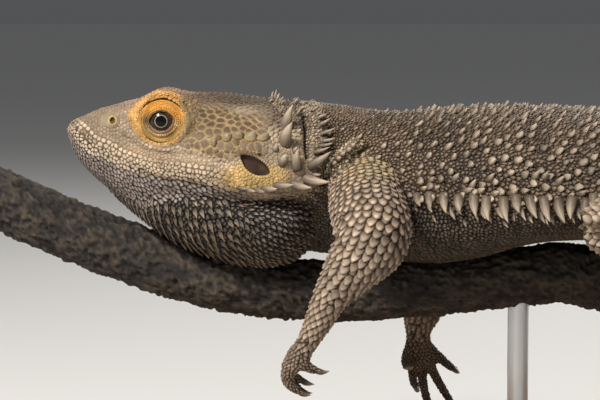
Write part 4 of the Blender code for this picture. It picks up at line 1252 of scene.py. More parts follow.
ON_HEAD = hull_kind == "head"
ON_BEARD = hull_kind == "beard"
ON_BODY = hull_kind == "body"
ON_LIMB = np.isin(hull_kind, ("arm", "leg"))
ON_HAND = np.isin(hull_kind, ("hand", "foot", "finger", "toe"))

# How a scale stands, as shares of its width: dome, spike, how far back the spike leans, how
# far the rear edge overlaps, how far it lifts, how sharp it is, and its length over its width
SHAPES = {
    "shield": (0.05, 0.01, 0.05, 0.00, 0.01, 0.0, 1.00),
    "crown": (0.12, 0.12, 0.25, 0.06, 0.08, 0.2, 1.00),
    "occiput": (0.16, 0.35, 0.40, 0.14, 0.14, 0.5, 1.00),
    "jaw": (0.10, 0.08, 0.45, 0.24, 0.15, 0.65, 1.50),
    "lance": (0.11, 0.20, 0.95, 1.40, 0.66, 0.96, 1.80),
    "pouch": (0.12, 0.26, 0.70, 0.52, 0.36, 0.84, 1.25),
    "neck": (0.24, 0.30, 0.30, 0.08, 0.10, 0.3, 1.00),
    "back": (0.16, 0.24, 0.48, 0.24, 0.20, 0.6, 1.05),
    "thorn": (0.14, 0.24, 0.52, 0.18, 0.42, 0.30, 0.92),
    "flank": (0.26, 0.14, 0.15, 0.04, 0.06, 0.2, 1.00),
    "belly": (0.12, 0.12, 0.40, 0.12, 0.08, 0.4, 1.00),
    "limb": (0.055, 0.13, 0.60, 0.24, 0.09, 0.30, 0.72),
    "tail": (0.16, 0.36, 0.55, 0.26, 0.20, 0.6, 1.10),
    "digit": (0.20, 0.12, 0.25, 0.12, 0.10, 0.3, 1.00),
    "lip": (0.13, 0.02, 0.00, 0.00, 0.00, 0.0, 1.32),
    "lid": (0.12, 0.02, 0.00, 0.00, 0.00, 0.0, 1.00),
    "bead": (0.24, 0.04, 0.00, 0.00, 0.00, 0.0, 0.80),
    "granule": (0.20, 0.06, 0.00, 0.00, 0.00, 0.0, 1.00),
    "knob": (0.34, 0.16, 0.30, 0.02, 0.06, 0.3, 1.00),
}

# Each kind is blended over the ones before it, by every scale's share of it
SHAPE_SHARES = (
    ("crown", ON_HEAD * step(93.0, 95.5, z)),
    ("occiput", ON_HEAD * step(-80, -74, x) * step(86, 90, z)),
    ("jaw", ON_HEAD * step(0.0, -2.0, above_mouth(place)) * step(-78, -84, x)),
    ("lance", ON_BEARD),
    ("pouch", ON_BEARD * step(-86, -79, x)),
    ("back", ON_BODY),
    ("neck", ON_BODY * step(-50, -58, x)),
    ("flank", ON_BODY * step(73.5, 71.5, z) * step(50, 30, x)),
    ("belly", ON_BODY * step(66.5, 63.5, z) * step(50, 30, x)),
    ("tail", ON_BODY * step(35, 60, x)),
    ("limb", ON_LIMB),
    ("digit", ON_HAND),
    ("lip", origin == "shield"),
    *((name, origin == name) for name in ("lid", "bead", "granule", "knob")),
    ("granule", origin == "rim"),
)
shape = np.tile(np.array(SHAPES["shield"]), (len(roots), 1))
for name, share in SHAPE_SHARES:
    share = np.asarray(share, float)[:, None]
    shape = shape * (1 - share) + np.array(SHAPES[name]) * share
print(len(SHAPES), "kinds of scale")

# %% Thorns and rough places
is_thorn = origin == "thorn"
shape[is_thorn] = SHAPES["thorn"]
shape[is_thorn, 1] *= RANDOM.normal(1.0, 0.4, is_thorn.sum()).clip(0.3, 2.0)
rough = (ON_BODY & (origin == "plain") & (z > 72)) * RANDOM.normal(0, 0.09, len(roots))
shape[:, 4] = (shape[:, 4] + rough).clip(0.0, 0.8)
leg_thorns = scattered(place, np.flatnonzero((hull_kind == "leg") & (origin == "plain")), 4.6)
size[leg_thorns] *= 1.2
shape[leg_thorns] = 0.5 * (shape[leg_thorns] + np.array(SHAPES["thorn"]))
print(len(leg_thorns), "thorns on the legs")

# %% Which way the scales lie
rear_lie = step(-92, -78, x)[:, None]
beard_lie = np.array((0.50, 0.0, -0.86)) * (1 - rear_lie) + np.array((0.80, 0.0, -0.6)) * rear_lie
way = np.where(ON_BEARD[:, None], beard_lie, way)
restless = np.select([is_thorn, ON_BODY, ON_BEARD], [0.30, 0.16, 0.09], 0.0)
way = unit(way + RANDOM.normal(0, 1, way.shape) * restless[:, None])
jaw_lie = (0.75 * step(0.5, -1.5, above_mouth(place)) * ON_HEAD * (origin != "shield"))[:, None]
way = way * (1 - jaw_lie) + np.array((0.78, 0.0, -0.62)) * jaw_lie
front = unit(way - normal * np.sum(way * normal, 1)[:, None])
aside = np.cross(normal, front)

# %% Outlines
NEIGHBOURS = near_ones(place, 12)[0]
FILLED = 0.975  # share of its room that a scale fills, which leaves the seam
widest = np.select([ON_BEARD & (origin == "plain"), origin == "shield"], [0.34, 0.53], 0.80)


def outlines(index, sectors):
    """Reach of each scale in every direction: the nearest edge shared with a neighbour."""
    who = NEIGHBOURS[index]
    to = place[who] - place[index][:, None]
    ahead = np.einsum("nkj,nj->nk", to, front[index]) / shape[index, 6][:, None]
    beside = np.einsum("nkj,nj->nk", to, aside[index])
    share = size[index][:, None] / (size[index][:, None] + size[who])
    facing = np.einsum("nkj,nj->nk", normal[who], normal[index]) > 0.1
    angle = around(sectors)
    toward = ahead[..., None] * np.cos(angle) + beside[..., None] * np.sin(angle)
    edge = (ahead**2 + beside**2)[..., None] * share[..., None] / np.maximum(toward, 1e-4)
    edge = np.where(facing[..., None] & (toward > 1e-4), edge, 1e3).min(1)
    return FILLED * np.minimum(edge, (widest * size)[index][:, None])


# %% [markdown]
# ## Colour
#
# The animal is sandy grey. Its cheeks have grey shields with yellow seams, the skin round the
# ear is warm yellow, the beard is slate with pale tips, and the back is brown with sandy thorns
# and darker blotches. One function gives the colours, so that skin and scales agree. Each zone
# has three: the middle of a scale, its edge and its tip.

# %% Zones and their colours
ZONES = {
    "head": ((0.30, 0.235, 0.165), (0.36, 0.29, 0.21), (0.40, 0.325, 0.245)),
    "snout": ((0.235, 0.178, 0.126), (0.245, 0.188, 0.134), (0.27, 0.21, 0.155)),
    "crown": ((0.042, 0.030, 0.021), (0.130, 0.094, 0.054), (0.075, 0.055, 0.038)),
    "brow": ((0.27, 0.155, 0.115), (0.30, 0.18, 0.125), (0.36, 0.235, 0.165)),
    "cheek": ((0.095, 0.057, 0.034), (0.35, 0.27, 0.14), (0.110, 0.070, 0.044)),
    "stripe": ((0.30, 0.226, 0.152), (0.31, 0.235, 0.16), (0.34, 0.265, 0.19)),
    "lip": ((0.44, 0.36, 0.27), (0.17, 0.13, 0.092), (0.48, 0.40, 0.31)),
    "orbit": ((0.50, 0.26, 0.070), (0.54, 0.32, 0.11), (0.58, 0.38, 0.15)),
    "rear orbit": ((0.20, 0.14, 0.066), (0.26, 0.185, 0.09), (0.29, 0.215, 0.12)),
    # Painted shade: dark band in the groove round the orbit's rear edge
    "fold": ((0.085, 0.058, 0.034), (0.10, 0.07, 0.042), (0.12, 0.085, 0.05)),
    "lid": ((0.60, 0.27, 0.040), (0.60, 0.28, 0.045), (0.64, 0.33, 0.07)),
    "low lid": ((0.40, 0.26, 0.085), (0.40, 0.26, 0.09), (0.48, 0.34, 0.14)),
    "inner lid": ((0.34, 0.21, 0.125), (0.38, 0.25, 0.155), (0.42, 0.29, 0.19)),
    "lid margin": ((0.095, 0.050, 0.018), (0.20, 0.10, 0.025), (0.14, 0.075, 0.025)),
    "lid corner": ((0.040, 0.024, 0.012), (0.34, 0.21, 0.07), (0.06, 0.036, 0.018)),
    "beads": ((0.58, 0.43, 0.24), (0.42, 0.27, 0.10), (0.66, 0.53, 0.34)),
    "ear": ((0.50, 0.345, 0.135), (0.52, 0.37, 0.16), (0.54, 0.41, 0.20)),
    "jaw": ((0.190, 0.160, 0.150), (0.060, 0.049, 0.046), (0.35, 0.31, 0.295)),
    "beard": ((0.034, 0.026, 0.020), (0.013, 0.010, 0.009), (0.42, 0.335, 0.25)),
    "pouch": ((0.045, 0.036, 0.030), (0.028, 0.022, 0.019), (0.36, 0.31, 0.265)),
    "collar": ((0.22, 0.175, 0.125), (0.28, 0.228, 0.168), (0.36, 0.30, 0.23)),
    "roll": ((0.34, 0.27, 0.17), (0.40, 0.33, 0.22), (0.50, 0.43, 0.30)),
    "neck": ((0.090, 0.060, 0.041), (0.135, 0.095, 0.064), (0.21, 0.16, 0.112)),
    "back": ((0.066, 0.044, 0.030), (0.115, 0.081, 0.055), (0.21, 0.16, 0.112)),
    # Painted shade: flank and, far more, belly are painted darker than the back, the belly much
    # darker than a dragon's own pale belly, as an unlit underside
    "flank": ((0.040, 0.030, 0.022), (0.060, 0.047, 0.036), (0.14, 0.11, 0.085)),
    "belly": ((0.036, 0.028, 0.022), (0.052, 0.042, 0.033), (0.11, 0.09, 0.072)),
    "tail": ((0.105, 0.076, 0.052), (0.17, 0.130, 0.092), (0.34, 0.27, 0.19)),
    "limb": ((0.180, 0.134, 0.102), (0.155, 0.116, 0.088), (0.46, 0.38, 0.305)),
    "knob": ((0.19, 0.140, 0.080), (0.36, 0.262, 0.135), (0.25, 0.19, 0.115)),
    "streak": ((0.39, 0.32, 0.24), (0.36, 0.29, 0.21), (0.42, 0.36, 0.28)),
    "shoulder": ((0.30, 0.235, 0.135), (0.22, 0.17, 0.095), (0.40, 0.325, 0.21)),
    "hand": ((0.14, 0.105, 0.078), (0.15, 0.115, 0.088), (0.26, 0.205, 0.16)),
}
SANDY = np.array((1.0, 0.95, 0.88))  # the hide's warm cast over all zones
STREAK = side_line((-98.3, 85.2), (-92.0, 83.4), (-85.6, 81.2))  # pale, from the eye to the ear
SHOULDER_ROLL = STROKES[3][0]


# %% Where each zone lies
def lid_zones(points, side):
    """Golden upper lid, olive lower one, a dark margin above, pale beads and pink skin below."""
    away, turn = round_eye(points[:, 0], points[:, 2])
    opening = np.hypot((points[:, 0] - EYE_AT[0]) / LID_OPENING[0],
                       (points[:, 2] - EYE_AT[2]) / LID_OPENING[1])
    lid = side * step(5.6, 4.8, away)
    above = step(-0.2, 0.35, np.sin(turn))
    lower = lid * (1 - above)
    return (
        ("lid", lid),
        ("low lid", lower),
        ("inner lid", lower * step(1.38, 1.28, opening)),
        ("beads", lower * step(1.26, 1.34, opening) * step(1.56, 1.48, opening)),
        ("lid margin", lid * above * step(1.24, 1.14, opening)),
        ("lid corner", lid * toward(turn, math.pi, 0.6) * step(1.85, 1.6, opening)),
    )


def head_zones(points):
    """Zones of the head in painting order, each with its share at every point."""
    x, outer, z = points[:, 0], np.abs(points[:, 1]), points[:, 2]
    rise = above_mouth(points)
    ear = np.hypot((x + 80.3) / 7.5, (z - 79.0) / 3.4)
    orbit = np.hypot((x + 101.8) / 8.0, (z - 92.6) / 6.4)
    side = step(8, 9, outer)
    round_orbit = step(1.10, 0.92, orbit) * side
    cheek_top = 1.7 * step(-84, -89, x)
    return (
        ("head", np.ones(len(x))),
        ("snout", step(-108, -114, x) * step(0, 1, rise)),
        ("snout", step(8, 5.5, rise) * step(0, 1, rise) * step(-84, -92, x)),
        ("stripe", step(-112, -107, x) * step(-82, -86, x) * step(0.2, 1.0, rise)
         * step(6.6, 5.2, rise)),
        ("crown", step(93.4, 95.6, z) * step(-110, -104, x)),
        ("crown", step(-83, -75, x) * step(88.0, 91.5, z) * 0.8),
        ("brow", np.exp(-(((x + 103) / 8.0) ** 2) - ((z - 96.6) / 2.8) ** 2)),
        ("cheek", step(-98, -94.5, x) * step(82.8, 84.4, z)
         * step(94.5 + cheek_top, 92.0 + cheek_top, z) * step(-76, -80, x)),
        ("streak", 0.8 * step(1.5, 0.5, from_line(left_side(points), STREAK))),
        ("jaw", step(-1.0, -2.2, rise) * step(-80, -86, x)),
        ("ear", step(1.3, 0.65, ear)),
        ("lip", step(2.7, 2.2, from_line(left_side(points), MOUTH)) * step(-86, -92, x)),
        ("orbit", round_orbit),
        ("rear orbit", round_orbit * step(-99, -96.5, x)),
        # Painted shade along the groove at the orbit's rear edge
        ("fold", side * np.exp(-(((orbit - 0.97) / 0.09) ** 2)) * step(-99.5, -97, x) * 0.75),
        *lid_zones(points, side),
    )


def zones_of(kind, points):
    """Zones of one kind of hull in painting order: later ones cover the earlier."""
    x, z = points[:, 0], points[:, 2]
    if kind == "head":
        return head_zones(points)
    if kind == "beard":
        return (("beard", 1.0 + 0 * x), ("pouch", step(-86, -78, x)),
                ("jaw", step(-100, -110, x) * 0.8))
    if kind == "body":
        return (
            ("back", 1.0 + 0 * x),
            ("neck", step(-48, -56, x)),
            ("collar", step(-64.6, -66.0, x)),
            ("roll", step(1.9, 1.1, from_line(left_side(points), SHOULDER_ROLL))),
            # Painted shade: the lower flank and the belly are painted darker, as an unlit underside
            ("flank", step(74.5, 72.0, z) * step(50, 30, x)),
            ("belly", step(67.5, 64.0, z) * step(50, 30, x)),
            ("tail", step(40, 60, x)),
        )
    if kind == "arm":
        return ("limb", 1.0 + 0 * x), ("shoulder", step(76.5, 82.5, z) * step(-20, -40, x))
    return (("limb" if kind == "leg" else "hand", 1.0 + 0 * x),)


# %% Colours of the hide
def hide_colours(points, kind):
    """Middle, edge and tip colour at each point: zones, blotches, bands, mottling, and painted shade
    in the creases.
    """
    colours = np.zeros((len(points), 3, 3))
    for one_kind in np.unique(kind):
        own = kind == one_kind
        for name, share in zones_of(one_kind, points[own]):
            share = share[:, None, None]
            colours[own] = colours[own] * (1 - share) + np.array(ZONES[name]) * share
    body = kind == "body"
    x, z = points[:, 0], points[:, 2]
    blotch = step(0.50, 0.64, 0.65 * noise(points, 9.0, 3) + 0.35 * noise(points, 3.6, 4))
    blotch = blotch * body * (0.45 + 0.25 * step(-30, 10, x)) * step(63, 67, z)
    band = body * step(60, 80, x) * step(0.1, 0.7, np.sin(x / 15.0 * 2 * math.pi)) * 0.5
    dark = 1 - np.maximum(blotch, band) * 0.55
    mottle = 0.58 + 0.48 * noise(points, 2.3, 5) + 0.28 * noise(points, 0.9, 7)
    colours = colours * (dark * mottle)[:, None, None]
    # Painted shade: colours darken along every groove stroke, more for deeper ones, for the shade in
    # the crease
    crease = np.zeros(len(points))
    for line, width, depth in STROKES:
        if depth > 0:
            away = from_line(left_side(points), line)
            crease = np.maximum(crease, min(depth, 2.1) * np.exp(-((away / width / 1.3) ** 2)))
    colours = colours * (1 - 0.42 * crease)[:, None, None]
    warm = 0.5 * noise(points, 6.0, 6)[:, None, None] * np.array((0.05, 0.0, -0.05)) + 1
    return colours * warm * SANDY


zone_colours = hide_colours(place, hull_kind)
thorn_tones = np.array(((0.20, 0.15, 0.105), (0.42, 0.335, 0.235), (0.48, 0.395, 0.29)))
zone_colours[origin == "knob"] = np.array(ZONES["knob"])
paler = (0.65 * is_thorn * (1 - 0.75 * step(10, 70, x)))[:, None, None]
zone_colours = zone_colours * (1 - paler) + thorn_tones * paler
zone_colours[(origin == "granule") & ~ON_HEAD] *= 0.5
zone_colours[(origin == "granule") & ON_BEARD, 2] *= 0.4
spread_of_tone = np.select([ON_HEAD, ON_BODY], [0.07, 0.24], 0.13)[:, None, None]
zone_colours *= (1 + spread_of_tone * RANDOM.normal(0, 1, (len(roots), 1, 1))).clip(0.6, 1.5)

# How much painted shade darkens the front of a scale's edge, how far the tip's colour reaches, how
# much painted shade darkens its foot in the gap
front_shade = np.select([is_thorn, ON_HEAD, ON_LIMB], [0.8, 0.12, 0.25], 0.55)
tip_reach = np.select([ON_HEAD, is_thorn | ON_BEARD], [0.3, 0.55], 0.4)
foot_shade = np.select([ON_HEAD & (above_mouth(place) > 0), ON_LIMB], [0.8, 0.48], 0.22)
print("colours for", len(zone_colours), "scales")

# %% [markdown]
# ## A flat layout for the bake map
#
# The OFBake layout says where each face lands in the square of a bake map. Every hull has its own
# strip of the square: along the strip runs the hull's row, across it the column. A scale gets a
# small patch at its root's place in that layout.

# %% Layout strips
def strips():
    """Left, right, low and high edge of each hull's strip in the unit square."""
    rows = {"body": (0.0, 0.38), "head": (0.39, 0.59), "beard": (0.60, 0.70)}
    places = {name: (0.01, 0.99, *span) for name, span in rows.items()}
    limbs = [name for name in HULL_NAMES if name.startswith(("arm", "leg"))]
    for k, name in enumerate(limbs):
        places[name] = (0.01 + 0.245 * k, 0.245 + 0.245 * k, 0.71, 0.85)
    small = [name for name in HULL_NAMES if name not in places]
    for k, name in enumerate(small):
        column, row = k % 12, k // 12
        places[name] = (0.01 + 0.082 * column, 0.085 + 0.082 * column, 0.86 + 0.066 * row,
                        0.92 + 0.066 * row)
    return np.array([places[name] for name in HULL_NAMES])


STRIPS = strips()
GRID_SIZE = np.array([HULLS[name].shape[:2] for name in HULL_NAMES], float)


def layout(hull, row, column):
    """Place in the unit square of a row and column of a hull."""
    left, right, low, high = STRIPS[hull].T
    runs, count = GRID_SIZE[hull].T
    return np.stack([left + (right - left) * row / runs,
                     low + (high - low) * column / count], -1)


# Every hull point, to find the hull place nearest to any point of the skin
grid_points = np.concatenate([HULLS[name].reshape(-1, 3) for name in HULL_NAMES])
grid_place = np.concatenate([
    np.column_stack([np.full(HULLS[name][..., 0].size, number),
                     *np.divmod(np.arange(HULLS[name][..., 0].size), HULLS[name].shape[1])])
    for number, name in enumerate(HULL_NAMES)
])
grid_tree = tree_of(grid_points)
print(len(grid_points), "places in the layout")


def hull_places(points):
    """Hull, row and column nearest to each point, the last two refined along the grid."""
    nearest = np.array([grid_tree.find(point)[1] for point in points.tolist()])
    hull, row, column = grid_place[nearest].astype(int).T
    fine = np.zeros((len(points), 2))
    for number, name in enumerate(HULL_NAMES):
        own = np.flatnonzero(hull == number)
        grid = HULLS[name]
        runs, count = grid.shape[:2]
        low = np.clip(row[own], 0, runs - 2)
        along = grid[low + 1, column[own]] - grid[low, column[own]]
        beside = grid[row[own], (column[own] + 1) % count] - grid[row[own], column[own]]
        away = points[own] - grid[row[own], column[own]]
        for k, axis in enumerate((along, beside)):
            fine[own, k] = np.sum(away * axis, 1) / np.maximum(np.sum(axis**2, 1), 1e-6)
    return hull, row + fine[:, 0].clip(-0.6, 0.6), column + fine[:, 1].clip(-0.6, 0.6)


# %% [markdown]
# ## Building the scales
#
# One scale is a small closed solid: a foot sunk in the skin, a rim, a shoulder and a tip. The
# rim slides back and lifts where scales overlap, the tip leans back where they are keeled, and
# rises into a thorn on the back. All scales of a piece are computed together as arrays.

# %% Scale solids
PATCH = 0.003  # width of a scale's place in the bake layout
SHOULDER = 0.62  # the shoulder's share of the rim's reach


def scale_points(index, sectors):
    """Foot, rim and shoulder rings and the tip of each scale, in its own three directions."""
    reach = outlines(index, sectors)
    dome, spike, lean, lap, lift, sharp, stretch = shape[index].T[:, :, None]
    wide = (2 * reach.mean(1) / np.sqrt(shape[index, 6]))[:, None]
    angle = around(sectors)[None, :]
    ahead = reach * np.cos(angle) * stretch
    beside = reach * np.sin(angle)
    rear = np.clip(np.cos(angle), 0, 1) ** 1.5
    tilt = lift * wide * (ahead / (wide * stretch) + 0.35).clip(0, 1.2)
    pinch = 1 - sharp * rear
    inset = 1 - 0.25 * dome
    rim = (ahead * inset + lap * wide * rear, beside * inset * pinch,
           dome * wide * 0.50 + tilt)
    shoulder = (ahead * SHOULDER + (lap + lean * 0.35) * wide * (0.3 + 0.5 * rear),
                beside * SHOULDER * (1 - 0.7 * sharp * rear),
                dome * wide * 0.95 + tilt * 0.9 + spike * wide * 0.35 * (0.3 + 0.7 * rear))
    foot = (ahead, beside, np.full_like(ahead, -0.12) - 0.12 * wide)
    tip = ((lean + lap * 0.6) * wide * stretch * 0.8, 0 * wide,
           dome * wide + lift * wide * (0.35 + lean) + spike * wide)
    return foot, rim, shoulder, tip


def repeated(faces, points_each, many):
    """The faces of one solid, then the same for every other, each on its own points."""
    return (faces[None] + (np.arange(many) * points_each)[:, None, None]).reshape(-1, 3)


def scale_faces(sectors):
    """Triangles of one scale: two walls, a cone to the tip and a flat underside."""
    k = np.arange(sectors)
    n = (k + 1) % sectors
    faces = []
    for low in (0, sectors):
        high = low + sectors
        faces += [np.stack([low + k, low + n, high + n], 1),
                  np.stack([low + k, high + n, high + k], 1)]
    faces.append(np.stack([2 * sectors + k, 2 * sectors + n, np.full(sectors, 3 * sectors)], 1))
    under = np.arange(1, sectors - 1)
    faces.append(np.stack([0 * under, under + 1, under], 1))
    return np.concatenate(faces)


def scale_mesh(name, index, sectors):
    """All scales of one piece: points, triangles, colours and bake layout."""
    rings = scale_points(index, sectors)
    axes = [axis[index][:, None] for axis in (front, aside, normal)]
    points = np.concatenate([
        place[index][:, None]
        + sum(part[..., None] * axis for part, axis in zip(ring, axes, strict=True))
        for ring in rings
    ], axis=1)
    middle, edge, tip = (zone_colours[index, k][:, None] for k in range(3))
    rear = 0.5 + 0.5 * np.cos(around(sectors))[None, :, None]
    dark, blaze, foot = (table[index][:, None, None]
                         for table in (front_shade, tip_reach, foot_shade))
    # Painted shade darkens the foot ring and the front of the rim; the pale tip is the scale's own
    # colour
    colours = np.concatenate([
        np.repeat(middle * foot, sectors, 1),
        edge * (1 - dark * (1 - rear)),
        middle * (1 - blaze * rear) + tip * blaze * rear,
        tip,
    ], axis=1)
    star = np.stack([np.cos(around(sectors)), np.sin(around(sectors))], 1)
    patch = np.concatenate([star * 0.5, star * 0.42, star * 0.2, np.zeros((1, 2))]) * PATCH
    uv = (root_spots[index][:, None] + patch[None]).reshape(-1, 2)
    faces = repeated(scale_faces(sectors), points.shape[1], len(index))
    return array_mesh(name, points.reshape(-1, 3), faces, colours.reshape(-1, 3), uv[faces.ravel()])


# Plain scales lie where their own row and column are, all others at the nearest hull place
root_spots = layout(roots[:, 7].astype(int), *roots[:, 8:10].T)
free = ~np.isin(origin, ("plain", "thorn"))
root_spots[free] = layout(*hull_places(place[free]))

# %% The pieces of the coat
TAIL_X, TAIL_HALF_X, HIPS_X, NECK_X, BELLY_Z = 66.0, 130.0, 12.0, -30.0, 71.0
lids, fore, upper = np.isin(origin, ("lid", "bead")), ON_BODY & (x < HIPS_X), z >= BELLY_Z
PIECES = (  # name, its scales, points round one of them, slot
    ("scales_head", ON_HEAD & ~lids & (origin != "shield"), 9, "head_skin"),
    ("scales_lids", lids, 8, "head_skin"),
    ("scales_lips", origin == "shield", 12, "head_skin"),
    ("scales_beard", ON_BEARD, 8, "beard_skin"),
    ("scales_neck", fore & (x < NECK_X) & upper, 8, "back_skin"),
    ("scales_back", fore & (x >= NECK_X) & upper, 8, "back_skin"),
    ("scales_hips", ON_BODY & (x >= HIPS_X) & (x < TAIL_X), 7, "back_skin"),
    ("scales_belly", fore & ~upper, 8, "back_skin"),
    ("tail_scales_front", ON_BODY & (x >= TAIL_X) & (x < TAIL_HALF_X), 7, "tail_skin"),
    ("tail_scales_rear", ON_BODY & (x >= TAIL_HALF_X), 7, "tail_skin"),
    ("scales_arms", hull_kind == "arm", 8, "limb_skin"),
    ("scales_legs", hull_kind == "leg", 8, "limb_skin"),
    ("scales_hands", np.isin(hull_kind, ("hand", "finger")), 7, "limb_skin"),
    ("scales_feet", np.isin(hull_kind, ("foot", "toe")), 7, "limb_skin"),
)
scale_meshes = []
for name, own, sectors, slot in PIECES:
    mesh = scale_mesh(name, np.flatnonzero(own), sectors)
    scale_meshes.append((mesh, slot))
    print(name, len(mesh.polygons), "triangles")

# %% [markdown]
# ## Finishes for the hide
#
# Every scale carries its colour in its vertices, so one finish serves them all. Fine noise
# roughens it and varies the colour a little, as keratin does; it is read in the object's own
# coordinates, in metres, so that it stays on the animal from every side.

# %% Hide finishes
def plain_finish(name, colour=(0.5, 0.5, 0.5), roughness=0.5, metallic=0.0):
    """One even colour and gloss."""
    material = bpy.data.materials.new(name)
    material.use_nodes = True
    shader = material.node_tree.nodes["Principled BSDF"]
    shader.inputs["Base Color"].default_value = (*colour, 1.0)
    shader.inputs["Roughness"].default_value = roughness
    shader.inputs["Metallic"].default_value = metallic
    return material


def object_noise(material, scale, detail=3.0, stretch=(1, 1, 1)):
    """A noise texture on object coordinates; scale is in cells per metre."""
    nodes, links = material.node_tree.nodes, material.node_tree.links
    place_node = nodes.new("ShaderNodeTexCoord")
    mapping = nodes.new("ShaderNodeMapping")
    mapping.inputs["Scale"].default_value = stretch
    texture = nodes.new("ShaderNodeTexNoise")
    texture.inputs["Scale"].default_value = scale
    texture.inputs["Detail"].default_value = detail
    links.new(place_node.outputs["Object"], mapping.inputs["Vector"])
    links.new(mapping.outputs["Vector"], texture.inputs["Vector"])
    return texture


def add_bump(material, texture, strength, distance):
    """Lets the texture raise and sink the surface's shading, distance in metres."""
    nodes, links = material.node_tree.nodes, material.node_tree.links
    bump = nodes.new("ShaderNodeBump")
    bump.inputs["Strength"].default_value = strength
    bump.inputs["Distance"].default_value = distance
    links.new(texture.outputs["Fac"], bump.inputs["Height"])
    links.new(bump.outputs["Normal"], nodes["Principled BSDF"].inputs["Normal"])


def painted_finish(name, roughness, vary, grain, bump, shine=0.5):
    """Vertex colour, darkened and lightened a little by fine noise, with a fine bump."""
    material = plain_finish(name, roughness=roughness)
    nodes, links = material.node_tree.nodes, material.node_tree.links
    nodes["Principled BSDF"].inputs["Specular IOR Level"].default_value = shine
    colour = nodes.new("ShaderNodeAttribute")
    colour.attribute_name = "Colour"
    texture = object_noise(material, grain)
    span = nodes.new("ShaderNodeMapRange")
    span.inputs["To Min"].default_value = 1.0 - vary
    span.inputs["To Max"].default_value = 1.0 + vary
    blend = nodes.new("ShaderNodeVectorMath")
    blend.operation = "MULTIPLY"
    links.new(texture.outputs["Fac"], span.inputs["Value"])
    links.new(colour.outputs["Color"], blend.inputs[0])
    links.new(span.outputs["Result"], blend.inputs[1])
    links.new(blend.outputs["Vector"], nodes["Principled BSDF"].inputs["Base Color"])
    add_bump(material, texture, bump, 0.00012)
    return material


scale_finish = painted_finish("scale_keratin", 0.5, 0.3, 3000.0, 0.5, 0.3)
skin_finish = painted_finish("bare_skin", 0.62, 0.3, 1500.0, 0.6, 0.15)
horn_finish = painted_finish("spine_horn", 0.5, 0.3, 1500.0, 0.35, 0.28)
for mesh, slot in scale_meshes:
    dress(mesh, scale_finish)
print("all scales", sum(len(mesh.polygons) for mesh, _ in scale_meshes), "triangles")

# %% [markdown]
# ## The skin itself
#
# Between the scales only the skin's softer surface shows, painted darker as shade in the gaps.
# Its mesh was made fine for the folds; Decimate now takes out what flat places don't need. Its
# colours come from the same zones as the scales, and its bake map lays each face in its own hull's
# strip.

# %% Skin mesh
SKIN_SHARE = 0.6  # of its triangles that the skin keeps
FLESH = ["head", "jaw", "beard", "neck", "trunk", "pelvis", *(f"tail_{k}" for k in range(1, 5)),
         *(f"{part}_{side}" for side in SIDES
           for part in ("upper_arm", "forearm", "hand", "thigh", "shank", "foot"))]


def skin_uv(faces, hull, row, column):
    """Each face in one hull's strip; a face over the strip's seam runs on past its edge."""
    own = hull[faces]
    first = own[:, 0]
    rows, columns = row[faces], column[faces]
    count = GRID_SIZE[first, 1][:, None]
    columns = columns - np.round((columns - columns[:, :1]) / count) * count
    strange = own != first[:, None]  # corners that belong to another hull are put beside the first
    rows = np.where(strange, rows[:, :1] + 0.3, rows)
    columns = np.where(strange, columns[:, :1] + 0.3, columns)
    spot = layout(np.repeat(first, 3), rows.ravel(), columns.ravel())
    spot[:, 0] += 0.002 * (np.arange(len(spot)) % 3 == 1) * strange.any(1).repeat(3)
    return spot.clip(0.0, 1.0)


thin_points, thin_faces = reworked(skin_points, skin_faces, "DECIMATE", ratio=SKIN_SHARE)
skin_hull, skin_row, skin_column = hull_places(thin_points)
skin_kind = HULL_KINDS[skin_hull]
# Painted shade: the skin between the scales is darkened to 0.26 of the hide's edge colour, to 0.80
# on the head above the mouth, and nearly black along the mouth's groove
skin_shade = np.where((skin_kind == "head") & (above_mouth(thin_points) > 0), 0.80, 0.26)
mouth_groove_shade = np.exp(-((from_line(left_side(thin_points), MOUTH) / 0.4) ** 2))
skin_shade = skin_shade * (1 - 0.85 * mouth_groove_shade)
skin_colours = hide_colours(thin_points, skin_kind)[:, 1] * skin_shade[:, None]
skin_map = skin_uv(thin_faces, skin_hull, skin_row, skin_column)
dress(array_mesh("skin", thin_points, thin_faces, skin_colours, skin_map), skin_finish,
      FLESH)
print("skin", len(thin_faces), "triangles, replaces", len(FLESH), "solids")

# %% [markdown]
# ## Rims
#
# A rim is a grid: around it run the points of an outline, and inwards run levels that each
# have a spread and a height above the head's side. The levels of the ear and the nostril roll
# over an edge and down a wall; the lid's levels follow the dome, roll over the lid's margin
# and end behind the eyeball's surface.

# %% Grids of rings
def open_sheet(name, side, rings, colours, material, replaces=()):
    """A grid of rings drawn on the left side, or its mirror image, as one open sheet."""
    runs, count = rings.shape[:2]
    points = rings.reshape(-1, 3) * (1, -SIDES[side], 1)
    faces = ring_squares(runs, count)[:, ::SIDES[side]]
    tone = np.broadcast_to(np.asarray(colours, float).reshape(runs, -1, 3), (runs, count, 3))
    uv = layout(*hull_places(points))[faces.ravel()]
    mesh = array_mesh(f"{name}_{side}", points, faces, tone.reshape(-1, 3), uv)
    dress(mesh, material, [f"{solid}_{side}" for solid in replaces])


def rings_at(outline, reach_of, levels):
    """Rings of an opening: each level has its spread, and its height over the head's side."""
    rings = []
    for spread, height in levels:
        x, z = outline(turn, spread).T
        rings.append(np.stack([x, -(reach_of(x, z) + height), z], -1))
    return np.array(rings)


def head_tones(rings):
    """The hide's colour at each point of the rings."""
    flat = rings.reshape(-1, 3)
    return hide_colours(flat, np.full(len(flat), "head"))[:, 0].reshape(rings.shape)


turn = around(72)  # directions of the outlines' points, which the eyeball shares

